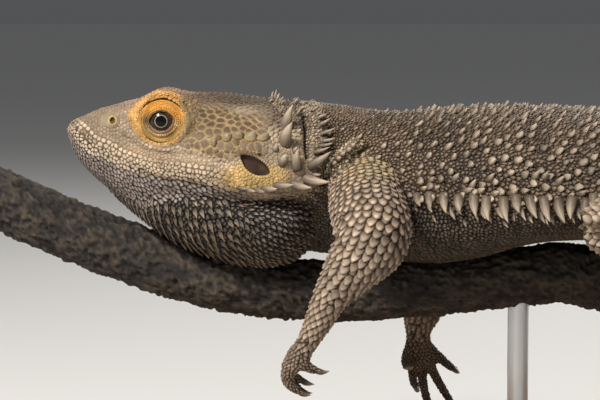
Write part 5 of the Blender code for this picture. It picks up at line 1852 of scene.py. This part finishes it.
# %% Lids
# Dome of the lid, then its margin, which rolls over and ends behind the eyeball's surface
DOME_SPREADS = (*np.linspace(2.08, 1.06, 44), 1.03, 1.01)
MARGIN_LEVELS = ((1.0, -0.16), (0.985, -0.36), (0.99, -0.62), (1.03, -0.95))
lid_levels = [(spread, 0.0) for spread in DOME_SPREADS] + list(MARGIN_LEVELS)
lid_rings = rings_at(lid_edge, lid_reach, lid_levels)
# Painted shade: the lid sheet between the granules at 0.55 of the hide's colour, its margin that
# rolls in behind the eyeball at 0.10
margin = np.arange(len(lid_rings)) >= len(DOME_SPREADS) - 3
lid_tones = head_tones(lid_rings) * np.where(margin, 0.10, 0.55)[:, None, None]
print(len(lid_rings), "rings in a lid")

# %% Ear rims
# Spread and height of each level, and how far painted shade darkens it down the wall into the
# opening
EAR_LEVELS = ((1.58, -0.45), (1.42, -0.22), (1.25, -0.08), (1.12, 0.02), (1.04, -0.04),
              (1.0, -0.28), (0.97, -0.8), (0.95, -1.5), (0.94, -2.4))
EAR_SHADE = np.array((1, 1, 1, 1, 0.85, 0.45, 0.2, 0.12, 0.08))[:, None, None]
EAR_YELLOW = np.array((0.56, 0.40, 0.15))  # the rim's lower border
ear_rings = rings_at(ear_outline, side_reach, EAR_LEVELS)
below = step(0.2, -0.9, np.sin(turn))[None, :, None]
ear_tones = head_tones(ear_rings) * 0.75 * (1 - 0.7 * below) + 0.7 * below * EAR_YELLOW
print(len(ear_rings), "rings in an ear's rim")

# %% Nostrils
# Levels of the nostril's shield: share of the way from the nostril's middle to the shield's,
# half length, half height, rise over the head's side
NOSE_LEVELS = (
    (1.0, 2.80, 1.95, -0.40), (1.0, 2.58, 1.74, -0.05), (1.0, 2.38, 1.55, 0.22),
    (0.9, 2.15, 1.42, 0.34), (0.6, 1.75, 1.30, 0.40), (0.3, 1.42, 1.22, 0.44),
    (0.1, 1.22, 1.18, 0.50), (0.0, 1.10, 1.12, 0.62), (0.0, 0.96, 1.02, 0.70),
    (0.0, 0.80, 0.90, 0.66), (0.0, 0.62, 0.76, 0.48), (0.0, 0.52, 0.66, 0.10),
    (0.0, 0.45, 0.58, -0.30), (0.0, 0.30, 0.38, -0.50), (0.0, 0.04, 0.05, -0.55),
)


def nose_rings():
    """Ovals tilted with the shield; inwards they close in on the nostril and roll into it."""
    rings = []
    for share, half_length, half_height, rise in NOSE_LEVELS:
        along, up = half_length * np.cos(turn), half_height * np.sin(turn)
        tilt = PLATE_TILT * share
        x = (NOSTRIL_AT[0] + share * (PLATE_AT[0] - NOSTRIL_AT[0])
             + along * math.cos(tilt) - up * math.sin(tilt))
        z = (NOSTRIL_AT[1] + share * (PLATE_AT[1] - NOSTRIL_AT[1])
             + along * math.sin(tilt) + up * math.cos(tilt))
        rings.append(np.stack([x, -(side_reach(x, z) + rise), z], -1))
    return np.array(rings)


# Colour of each level: the shield and its pale ring, with painted shade at the sunk outer edge and
# deep inside the nostril
NOSE_TONES = [(0.12, 0.09, 0.06), (0.20, 0.155, 0.105)] + [(0.24, 0.188, 0.125)] * 4 + [
    (0.26, 0.20, 0.115), (0.34, 0.265, 0.135), (0.38, 0.295, 0.15), (0.32, 0.22, 0.085),
    (0.20, 0.115, 0.03), (0.13, 0.07, 0.018), (0.15, 0.08, 0.02), (0.10, 0.052, 0.015),
    (0.05, 0.03, 0.01)]
print(len(NOSE_LEVELS), "rings in a nostril")

# %% The sheets of both sides
RIMS = (("lids", lid_rings, lid_tones), ("ear_rim", ear_rings, ear_tones * EAR_SHADE),
        ("nostril", nose_rings(), NOSE_TONES))
for side in SIDES:
    for name, rings, tones in RIMS:
        open_sheet(name, side, rings, tones, skin_finish)

# %% [markdown]
# ## Eardrum and eyes
#
# The eardrum is a dark, slightly sunken membrane. The eye is one glossy ball on rings about its
# axis: a black pupil, a thin bright ring, a grey-brown iris with fine spokes and a dark rim.
# The cornea bulges a little over them, which catches the light as a wet spot.

# %% Eardrums
DRUM_DEPTH, DRUM_DISH = 1.15, 0.45  # below the head's side at its edge, and further in its middle
DRUM_DARK, DRUM_PALE = np.array(((0.014, 0.008, 0.006), (0.075, 0.042, 0.026)))
drum_levels = [(spread, -DRUM_DEPTH - DRUM_DISH * (1 - spread**2))
               for spread in np.linspace(1.02, 0.0, 14)]
drum_rings = rings_at(ear_outline, side_reach, drum_levels)
drum_patch = noise(drum_rings, 1.3, 8)[..., None]
drum_tones = DRUM_DARK * (1 - drum_patch) + DRUM_PALE * drum_patch
drum_finish = painted_finish("eardrum", 0.35, 0.2, 1200.0, 0.2, 0.15)
for side in SIDES:
    open_sheet("eardrum", side, drum_rings, drum_tones, drum_finish, ["ear"])

# %% Eye colours
PUPIL, BRIGHT_RING, IRIS = 1.30, 1.38, 2.5  # radii seen from the front, millimetres
PUPIL_TONE = np.array((0.004, 0.004, 0.005))
RING_TONE = np.array((0.36, 0.29, 0.17))
IRIS_INNER, IRIS_OUTER = np.array(((0.012, 0.010, 0.008), (0.050, 0.036, 0.024)))
EYE_RIM_TONE = np.array((0.03, 0.022, 0.016))


def eye_tones(seen, turn):
    """Pupil, bright ring, iris and dark rim by the radius seen from in front, with fine spokes."""
    lattice = np.stack([np.cos(turn) * 9, np.sin(turn) * 9, 0 * turn], -1)
    spokes = noise(lattice, 1.0, 9)[None, :, None]
    edge, iris_edge = BRIGHT_RING + 0.12, IRIS - 0.2
    bright = step(PUPIL - 0.05, PUPIL + 0.05, seen) * step(edge, BRIGHT_RING, seen)
    iris = step(BRIGHT_RING, edge, seen) * step(IRIS, iris_edge, seen)
    out = step(BRIGHT_RING, IRIS, seen)
    iris_tone = (IRIS_INNER * (1 - out) + IRIS_OUTER * out) * (0.55 + 0.9 * spokes)
    return (PUPIL_TONE + bright * RING_TONE * (0.7 + 0.5 * spokes) + iris * iris_tone
            + step(iris_edge, IRIS, seen) * EYE_RIM_TONE)


# %% Eyes
CORNEA_RISE, CORNEA_SWING = 0.22, 0.34  # millimetres, radians from the eye's axis


def eye_mesh(name, sign):
    """Rings about the eye's axis from the front to the back, a ball with a swollen cornea."""
    swing = np.concatenate([np.linspace(0, 0.62, 46), np.linspace(0.68, math.pi, 22)])[:, None]
    radius = EYE_RADIUS + CORNEA_RISE * np.exp(-((swing / CORNEA_SWING) ** 2))
    across, depth = radius * np.sin(swing), radius * np.cos(swing) + 0 * turn
    points, faces = closed_hull(np.stack([
        EYE_AT[0] + across * np.cos(turn), sign * (-EYE_AT[1] + depth),
        EYE_AT[2] + across * np.sin(turn),
    ], -1))
    tone = eye_tones(EYE_RADIUS * np.sin(np.minimum(swing, 1.5))[..., None], turn)
    tones = np.vstack([tone.reshape(-1, 3), tone[0, 0], tone[-1, 0]])
    spot = 0.49 * swing / math.pi
    flat = 0.5 + np.stack([spot * np.cos(turn), spot * np.sin(turn)], -1).reshape(-1, 2)
    flat = np.vstack([flat, (0.5, 0.5), (0.99, 0.5)])
    return array_mesh(name, points, faces, tones, flat[faces.ravel()])


eye_finish = painted_finish("wet_eye", 0.04, 0.05, 900.0, 0.0, 0.13)
for side, sign in SIDES.items():
    dress(eye_mesh(f"eyeball_{side}", sign), eye_finish, [f"eye_{side}"])
print("head openings finished")

# %% [markdown]
# ## Spines
#
# Behind the jaw, on the nape and along each flank stand long pale spines. A spine is a cone
# whose middle line bends a little towards its lie. All are worked out at once: rings along the
# cone by sectors round it, for every spine.

# %% Spine tables (left side: root, way, length, radius)
ROWS = (  # first root and size, last root and size, way, how many
    ((-84.0, -21.0, 75.2, 1.7, 0.55), (-80.0, -21.0, 75.4, 2.6, 0.85), (0.75, -0.55, -0.35), 3),
    ((-84.0, -20.8, 73.8, 1.6, 0.45), (-74.0, -19.6, 75.0, 1.8, 0.5), (0.75, -0.45, -0.50), 5),
    ((-77.0, -6.0, 96.8, 1.3, 0.42), (-67.5, -9.5, 94.6, 1.5, 0.45), (0.50, -0.25, 0.80), 5),
    ((-75.4, -4.0, 96.5, 1.6, 0.42), (-74.4, -12.0, 94.6, 1.8, 0.5), (0.20, -0.16, 0.94), 3),
    ((-71.4, -3.5, 95.8, 1.5, 0.42), (-70.4, -11.5, 94.0, 1.7, 0.45), (0.50, -0.20, 0.84), 4),
    ((-67.6, -2.5, 95.2, 1.4, 0.42), (-66.6, -10.5, 93.4, 1.6, 0.45), (0.60, -0.20, 0.78), 4),
    ((-61.8, -18.6, 80.4, 1.9, 0.65), (-57.6, -19.2, 80.8, 1.8, 0.6), (0.65, -0.60, -0.30), 3),
    ((-62.6, -17.8, 82.0, 1.0, 0.70), (-57.6, -18.2, 86.2, 1.1, 0.75), (0.45, -0.80, 0.35), 5),
)
SINGLES = (  # root, way, length, radius
    # thorns of the occiput and behind the ear, standing up
    ((-72.9, -17.0, 91.4), (0.05, -0.34, 0.94), 4.4, 1.45),
    ((-73.7, -19.4, 87.2), (0.08, -0.40, 0.91), 4.2, 1.65),
    ((-73.9, -20.8, 82.2), (0.10, -0.60, 0.79), 1.9, 1.20),
    ((-70.8, -20.0, 81.2), (0.02, -0.50, 0.86), 3.8, 1.40),
    ((-75.9, -19.8, 85.2), (0.10, -0.70, 0.70), 1.2, 0.80),
    ((-71.4, -19.0, 84.8), (0.20, -0.70, 0.68), 1.3, 0.80),
    ((-70.6, -16.0, 88.4), (0.30, -0.60, 0.74), 1.6, 0.75),
    # the two largest, at the jaw's corner
    ((-67.4, -18.6, 81.4), (0.80, -0.42, 0.48), 5.4, 1.20),
    ((-68.4, -19.4, 78.6), (0.88, -0.42, -0.26), 5.4, 1.35),
    # the jaw's fringe
    ((-71.4, -20.2, 77.3), (0.86, -0.45, -0.28), 4.6, 1.15),
    ((-74.8, -20.9, 76.9), (0.84, -0.50, -0.20), 3.8, 1.05),
    ((-77.9, -21.2, 76.3), (0.82, -0.52, -0.18), 3.2, 0.95),
    ((-66.4, -18.2, 78.9), (0.84, -0.50, 0.10), 2.4, 0.70),
    # the column of thin spines on the nape
    ((-65.6, -11.4, 93.0), (0.86, -0.35, 0.36), 3.0, 0.50),
    ((-65.0, -13.4, 91.6), (0.86, -0.40, 0.32), 3.4, 0.52),
    ((-64.7, -15.0, 89.4), (0.88, -0.42, 0.20), 2.8, 0.52),
    ((-64.7, -16.2, 87.8), (0.88, -0.44, 0.12), 2.9, 0.52),
    ((-64.8, -17.0, 86.4), (0.88, -0.44, 0.16), 3.2, 0.55),
    ((-65.2, -17.6, 84.8), (0.87, -0.44, 0.22), 3.8, 0.62),
    # one slender spine stands highest behind the crown
    ((-76.2, -4.0, 96.9), (0.02, -0.10, 0.99), 2.6, 0.45),
)
FRINGE = {"left": (-43.5, 4.0), "right": (-35.0, 10.0)}  # where the flank's row starts and ends
FRINGE_STEP = 3.1


def fringe_rows(side):
    """Rows along the flank: long spines on its edge, knobs and thorns above, short ones below."""
    low, high = FRINGE[side]
    found = []
    for shift, rise, length, radius, way in (
        (0.0, 0.0, 4.5, 1.32, (-0.14, -0.50, -0.85)),
        (1.7, -1.6, 3.0, 0.72, (0.05, -0.50, -0.86)),
        (0.6, -3.3, 1.9, 0.50, (0.10, -0.45, -0.89)),
        (1.4, 2.0, 1.7, 0.85, (0.45, -0.80, 0.35)),
        (0.2, 4.6, 2.1, 0.80, (0.35, -0.60, 0.72)),
    ):
        x = np.arange(low + shift, high, FRINGE_STEP)
        x = x + RANDOM.normal(0, 0.15 if rise == 0 else 0.7, len(x))
        x = x[RANDOM.random(len(x)) > (0.0 if rise == 0 else 0.3)]
        grow = step(low - 4.0, low + 12.0, x)
        half, level = smooth(BODY_TABLE[:, 0], BODY_TABLE[:, (3, 2)], x).T
        bend = np.sqrt(np.clip(1 - (rise / 13.0) ** 2, 0, 1))
        root = np.stack([x, -half * bend + 0.5, level + rise], -1)
        root[:, 2] += RANDOM.normal(0, 0.12 if rise == 0 else 0.6, len(x))
        size = np.stack([length * (0.55 + 0.45 * grow), radius * (0.75 + 0.25 * grow)], -1)
        found.append(np.column_stack([root, np.tile(way, (len(x), 1)), size]))
    return np.concatenate(found)


def all_spines():
    """Root, way, length and radius of every spine on both sides."""
    rows = []
    for first, last, way, many in ROWS:
        table = np.linspace(first, last, many)
        rows.append(np.column_stack([table[:, :3], np.tile(way, (many, 1)), table[:, 3:]]))
    rows.append(np.array([(*root, *way, length, radius) for root, way, length, radius in SINGLES]))
    head = np.concatenate(rows)
    sides = []
    for side, sign in SIDES.items():
        both = np.concatenate([head, fringe_rows(side)])
        both[:, (1, 4)] *= -sign
        sides.append(both)
    found = np.concatenate(sides)
    found[:, 3:6] = unit(unit(found[:, 3:6]) + RANDOM.normal(0, 0.10, (len(found), 3)))
    found[:, 6] *= RANDOM.normal(1, 0.14, len(found)).clip(0.65, 1.3)
    found[:, :3] += RANDOM.normal(0, 0.20, (len(found), 3))
    return found


# %% Bent cones
BOW, LEAN = 0.225, 0.55  # how far a cone's tip bows aside, as a share of its length, and leans


def cones(name, root, way, size, bend, levels, sectors, tones, sink):
    """Bent cones: at each level the middle line has turned further towards bend.

    Radius at level t is radius (1 - t^1.6), and a foot below t = 0 is sunk in the skin.
    """
    many, runs, up = len(root), len(levels), np.clip(levels, 0, 1)[:, None]
    root, way, bend = root[:, None], way[:, None], bend[:, None]
    length, radius = size.T[:, :, None, None]
    middle = root + way * (up * length - sink * (levels < 0)[:, None])
    middle = middle + bend * (BOW * up**2 * length)
    axis = unit(way + bend * (levels * LEAN)[:, None])
    across = unit(np.cross(axis, bend + 1e-3))
    angle = around(sectors)[:, None]
    ring = across[:, :, None] * np.cos(angle) + np.cross(axis, across)[:, :, None] * np.sin(angle)
    points = middle[:, :, None] + ring * (radius * (1 - up**1.6))[..., None]
    points = np.concatenate([points.reshape(many, -1, 3), middle[:, :1], middle[:, -1:]], 1)
    faces = repeated(outward(points[0], closed_faces(runs, sectors)), points.shape[1], many)
    low, high = np.array(tones)
    share = np.append(np.repeat(step(0.0, 0.8, levels), sectors), (0.0, 1.0))[:, None]
    varied = RANDOM.normal(1, 0.12, (many, 1, 1)).clip(0.7)
    colours = (low * (1 - share) + high * share) * varied
    star = np.stack([np.cos(angle[:, 0]), np.sin(angle[:, 0])], 1)
    patch = [star * (1 - 0.9 * level) for level in np.linspace(0, 1, runs)] + [np.zeros((2, 2))]
    spot = layout(*hull_places(root[:, 0]))[:, None] + np.concatenate(patch) * PATCH * 0.5
    return array_mesh(name, points.reshape(-1, 3), faces, colours.reshape(-1, 3),
                      spot.reshape(-1, 2)[faces.ravel()])


SPINE_LEVELS = np.array((-0.1, 0.0, 0.18, 0.38, 0.58, 0.78, 0.92, 0.985))
SPINE_TONES = ((0.105, 0.077, 0.054), (0.34, 0.27, 0.195))  # root, tip
SPINE_LIE = np.array((0.35, 0.0, 0.30))
spines = all_spines()
spine_way = spines[:, 3:6]
spine_bend = unit(SPINE_LIE - spine_way * np.sum(SPINE_LIE * spine_way, 1)[:, None])
spine_mesh = cones("spines", dropped(spines[:, :3])[0], spine_way, spines[:, 6:8], spine_bend,
                   SPINE_LEVELS, 8, SPINE_TONES, 0.8)
dress(spine_mesh, horn_finish)
print(len(spines), "spines,", len(spine_mesh.polygons), "triangles")

# %% [markdown]
# ## Claws
#
# Each digit ends in a hooked claw, dark at its root and clear brown at its tip. It starts at the
# end of the digit's own path and bends on the way that the digit was curling.

# %% Claws
CLAW_SIZE = {"hand": (2.3, 0.72), "foot": (2.0, 0.66)}  # length, radius
CLAW_LEVELS = np.array((-0.1, 0.0, 0.15, 0.3, 0.45, 0.6, 0.75, 0.88, 0.97))
CLAW_TONES = ((0.10, 0.075, 0.052), (0.26, 0.20, 0.14))
CLAW_HOOK = 1.9  # how much further than a spine a claw bends


def claw_roots(limb, side):
    """Root, way, bend of the five claws of a hand or foot."""
    rows = []
    if limb == "hand":
        for path, axis in hand_paths(side)[2]:
            way = unit(path[-1] - path[-2])
            rows.append((path[-1] + way * DIGIT_RADII[1] * 0.75, way, np.cross(axis, way)))
    else:
        for path in foot_paths(side)[1]:
            way = unit(path[-1] - path[-2])
            inward = branch_at(path[-1][0])[0] - path[-1]
            rows.append((path[-1] + way * TOE_RADII[1] * 0.75, way, unit(inward)))
    return np.array(rows)


claw_finish = painted_finish("claw_horn", 0.28, 0.15, 1500.0, 0.1)
for limb, claw_size in CLAW_SIZE.items():
    for side in SIDES:
        for number, (root, way, bend) in enumerate(claw_roots(limb, side)[:, :, None], 1):
            mesh = cones(f"{limb}_{side}_claw_{number}", root, way, np.array([claw_size]),
                         bend * CLAW_HOOK, CLAW_LEVELS, 10, CLAW_TONES, 0.5)
            dress(mesh, claw_finish, [f"claw_{limb}_{side}_{number}"])
print("claws fitted")

# %% [markdown]
# ## The branch
#
# A weathered branch: grey-brown bark, crumbly, with short cracks along the wood. The relief is
# modelled, because it breaks the outline: three sizes of noise swell and pit a tube along the
# branch's path. The cut ends are flat and show pale rings.

# %% Bark
BRANCH_RUNS, BRANCH_SIDES = 560, 130
# Bark colour in the pits, near black as painted shade, and on the ridges
BARK_DARK, BARK_PALE = np.array(((0.006, 0.004, 0.003), (0.042, 0.030, 0.019)))
CRUMB_TONE = np.array((0.085, 0.064, 0.040))  # dry crumbs that lie on the bark


def branch_rings():
    """Circles about the path, their radius waved as the solid's is and roughened by noise."""
    at = np.linspace(BRANCH_PATH[0, 0], BRANCH_PATH[-1, 0], BRANCH_RUNS)
    centres = branch_at(at)
    tangent = unit(np.gradient(centres, axis=0))
    side = unit(np.cross((0, 0, 1), tangent))[:, None]
    up = np.cross(tangent[:, None], side)
    angle = around(BRANCH_SIDES)[None]
    wave = 0.018 * np.sin(3 * angle + at[:, None] / 11) + 0.014 * np.sin(at[:, None] / 17)
    out = side * np.cos(angle)[..., None] + up * np.sin(angle)[..., None]
    smooth_wall = centres[:, None] + out * (BRANCH_RADIUS * (1 + wave))[..., None]
    cell = smooth_wall * (0.55, 1.0, 1.0)
    relief = (0.55 * (noise(cell, 3.0, 11) - 0.5) + 0.75 * (noise(cell, 1.2, 12) - 0.5)
              + 0.85 * (noise(smooth_wall, 0.62, 13) - 0.5))
    pits = step(0.60, 0.75, noise(smooth_wall, 1.0, 14))
    relief = relief - 0.40 * pits
    return smooth_wall + out * relief[..., None], relief


bark_rings, bark_relief = branch_rings()
# Painted shade: the bark is coloured by its relief, near black in the pits and hollows and pale on
# the ridges, where dry crumbs lie
bark_light = step(-0.40, 0.45, bark_relief)[..., None]
bark_tones = BARK_DARK * (1 - bark_light) + BARK_PALE * bark_light
crumbs = step(0.62, 0.85, noise(bark_rings, 0.8, 15))[..., None] * bark_light
bark_tones = bark_tones * (1 - 0.6 * crumbs) + CRUMB_TONE * 0.6 * crumbs

# %% Sawn ends
# Rings of each end's flat disc, as shares of the way out from its middle, and their colours
CUT_SHARES = np.concatenate([np.linspace(0.05, 0.89, 22), [0.92, 0.95, 0.985]])
WOOD_TONE = np.array((0.34, 0.245, 0.15))
growth = 0.82 + 0.18 * np.sin(CUT_SHARES * 52)
cut_tones = np.where(CUT_SHARES[:, None] < 0.91, WOOD_TONE * growth[:, None], (0.03, 0.02, 0.013))
cut_tones = np.repeat(cut_tones[:, None], BRANCH_SIDES, 1)


def drawn_in(ring):
    """A ring repeated ever smaller about its own middle, from the inside out."""
    middle = ring.mean(0)
    return middle + (ring - middle) * CUT_SHARES[:, None, None]


bark_rings = np.concatenate([drawn_in(bark_rings[0]), bark_rings, drawn_in(bark_rings[-1])[::-1]])
bark_tones = np.concatenate([cut_tones, bark_tones, cut_tones[::-1]])
bark_points, bark_faces = closed_hull(bark_rings)
bark_colours = np.vstack([bark_tones.reshape(-1, 3), cut_tones[0, 0], cut_tones[0, 0]])
bark_row, bark_column = np.divmod(np.arange(len(bark_rings) * BRANCH_SIDES), BRANCH_SIDES)
bark_flat = np.stack([bark_row / len(bark_rings), bark_column / BRANCH_SIDES], 1)
bark_flat = np.vstack([bark_flat, (0.0, 0.5), (0.999, 0.5)])[bark_faces]
over_seam = np.ptp(bark_flat[..., 1], axis=1) > 0.5
bark_flat[..., 1] += (over_seam[:, None] & (bark_flat[..., 1] < 0.5)) * 1.0
bark_flat[..., 1] *= BRANCH_SIDES / (BRANCH_SIDES + 1)
bark_finish = painted_finish("bark", 0.85, 0.35, 2200.0, 0.6)
dress(array_mesh("branch_bark", bark_points, bark_faces, bark_colours, bark_flat.reshape(-1, 2)),
      bark_finish, ["perch_branch"])
print("branch", len(bark_faces), "triangles")

# %% [markdown]
# ## The display stand
#
# A flat oiled-beech base and two round steel rods, nothing more. The base keeps the solid's own
# mesh, which is a plain bevelled board; the rods are made rounder than the solids' many-sided
# ones, with a thin collar where each enters the wood.

# %% Base and rods
def turned_post(name, x, y, profile, sectors=48):
    """A profile of (radius, height) pairs turned about an upright line."""
    radius, height = np.array(profile, float).T
    angle = around(sectors)
    rings = np.stack([x + radius[:, None] * np.cos(angle), y + radius[:, None] * np.sin(angle),
                      np.broadcast_to(height[:, None], (len(radius), sectors))], -1)
    return array_mesh(name, *closed_hull(rings))


steel_finish = plain_finish("brushed_steel", (0.56, 0.56, 0.55), 0.32, 1.0)
add_bump(steel_finish, object_noise(steel_finish, 900.0, 2.0, (1, 1, 0.04)), 0.08, 0.0001)
for name, x in (("stand_rod_front", -18.0), ("stand_rod_rear", 84.0)):
    _, y, top = branch_at(x)[0]
    profile = [(4.2, 7.9), (4.2, 9.0), (3.9, 9.4), (2.5, 9.4), (2.5, top - BRANCH_RADIUS + 1.2)]
    post = turned_post(name.replace("stand_", "stand_post_"), x, y, profile)
    post.set_sharp_from_angle(angle=math.radians(40))
    dress(post, steel_finish, [name])

wood_finish = plain_finish("oiled_beech", roughness=0.42)
nodes, links = wood_finish.node_tree.nodes, wood_finish.node_tree.links
grain = object_noise(wood_finish, 160.0, 6.0, (0.07, 1.0, 1.0))
ramp = nodes.new("ShaderNodeValToRGB")
ramp.color_ramp.elements[0].position, ramp.color_ramp.elements[1].position = 0.34, 0.68
ramp.color_ramp.elements[0].color = (0.20, 0.115, 0.058, 1)
ramp.color_ramp.elements[1].color = (0.42, 0.275, 0.155, 1)
links.new(grain.outputs["Fac"], ramp.inputs["Fac"])
links.new(ramp.outputs["Color"], nodes["Principled BSDF"].inputs["Base Color"])
add_bump(wood_finish, grain, 0.12, 0.0002)
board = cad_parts["stand_base"]
board.data.materials.clear()
board.data.materials.append(wood_finish)
print("stand finished")

# %% [markdown]
# ## Floor and light
#
# A pale floor that runs out to a soft grey sky, and three soft lights: a large one high on the
# left and in front, as the eye's highlight asks for, a weak one from the right and a rim light
# behind, which draws the thorns of the back.

# %% Floor
FLOOR_REACH = 30000.0  # millimetres, far enough to meet the sky's own grey


def disc(sides=96):
    """A flat round floor: rings that lie closer together under the stand."""
    reach = np.array((0.5, 300.0, 900.0, 3000.0, FLOOR_REACH))[:, None]
    angle = around(sides)
    points = np.stack([reach * np.cos(angle), reach * np.sin(angle),
                       np.full((len(reach), sides), -0.02)], -1)
    return array_mesh("floor", points.reshape(-1, 3), ring_squares(len(reach), sides))


floor = bpy.data.objects.new("floor", disc())
floor.data.materials.append(plain_finish("pale_floor", (0.66, 0.65, 0.63), 0.7))
bpy.context.scene.collection.objects.link(floor)

# %% Lights
# name, place, size and power in watts, colour
LIGHTS = (
    ("key", (-0.38, -0.44, 0.56), 0.22, 8.6, (1.0, 0.97, 0.93)),
    ("fill", (0.45, -0.70, 0.42), 0.60, 0.8, (0.95, 0.97, 1.0)),
    ("rim", (0.25, 0.55, 0.60), 0.40, 3.4, (1.0, 0.98, 0.95)),
)
for name, spot, width, power, colour in LIGHTS:
    data = bpy.data.lights.new(name, "AREA")
    data.shape = "DISK"
    data.size, data.energy, data.color = width, power, colour
    lamp = bpy.data.objects.new(name, data)
    lamp.location = spot
    toward = CAMERA_TARGET - Vector(spot)
    lamp.rotation_euler = toward.to_track_quat("-Z", "Y").to_euler()
    bpy.context.scene.collection.objects.link(lamp)

world = bpy.data.worlds.new("studio")
world.use_nodes = True
nodes, links = world.node_tree.nodes, world.node_tree.links
nodes["Background"].inputs["Color"].default_value = (0.86, 0.88, 0.91, 1)
# At the horizon the sky is as dim as the floor there, and it brightens a little above
way_up, fade = nodes.new("ShaderNodeSeparateXYZ"), nodes.new("ShaderNodeMapRange")
links.new(nodes.new("ShaderNodeTexCoord").outputs["Generated"], way_up.inputs[0])
links.new(way_up.outputs["Z"], fade.inputs["Value"])
for name, value in (("From Min", 0.0), ("From Max", 0.3), ("To Min", 0.10), ("To Max", 0.16)):
    fade.inputs[name].default_value = value
links.new(fade.outputs[0], nodes["Background"].inputs["Strength"])
bpy.context.scene.world = world
bpy.context.scene.view_settings.view_transform = "Standard"
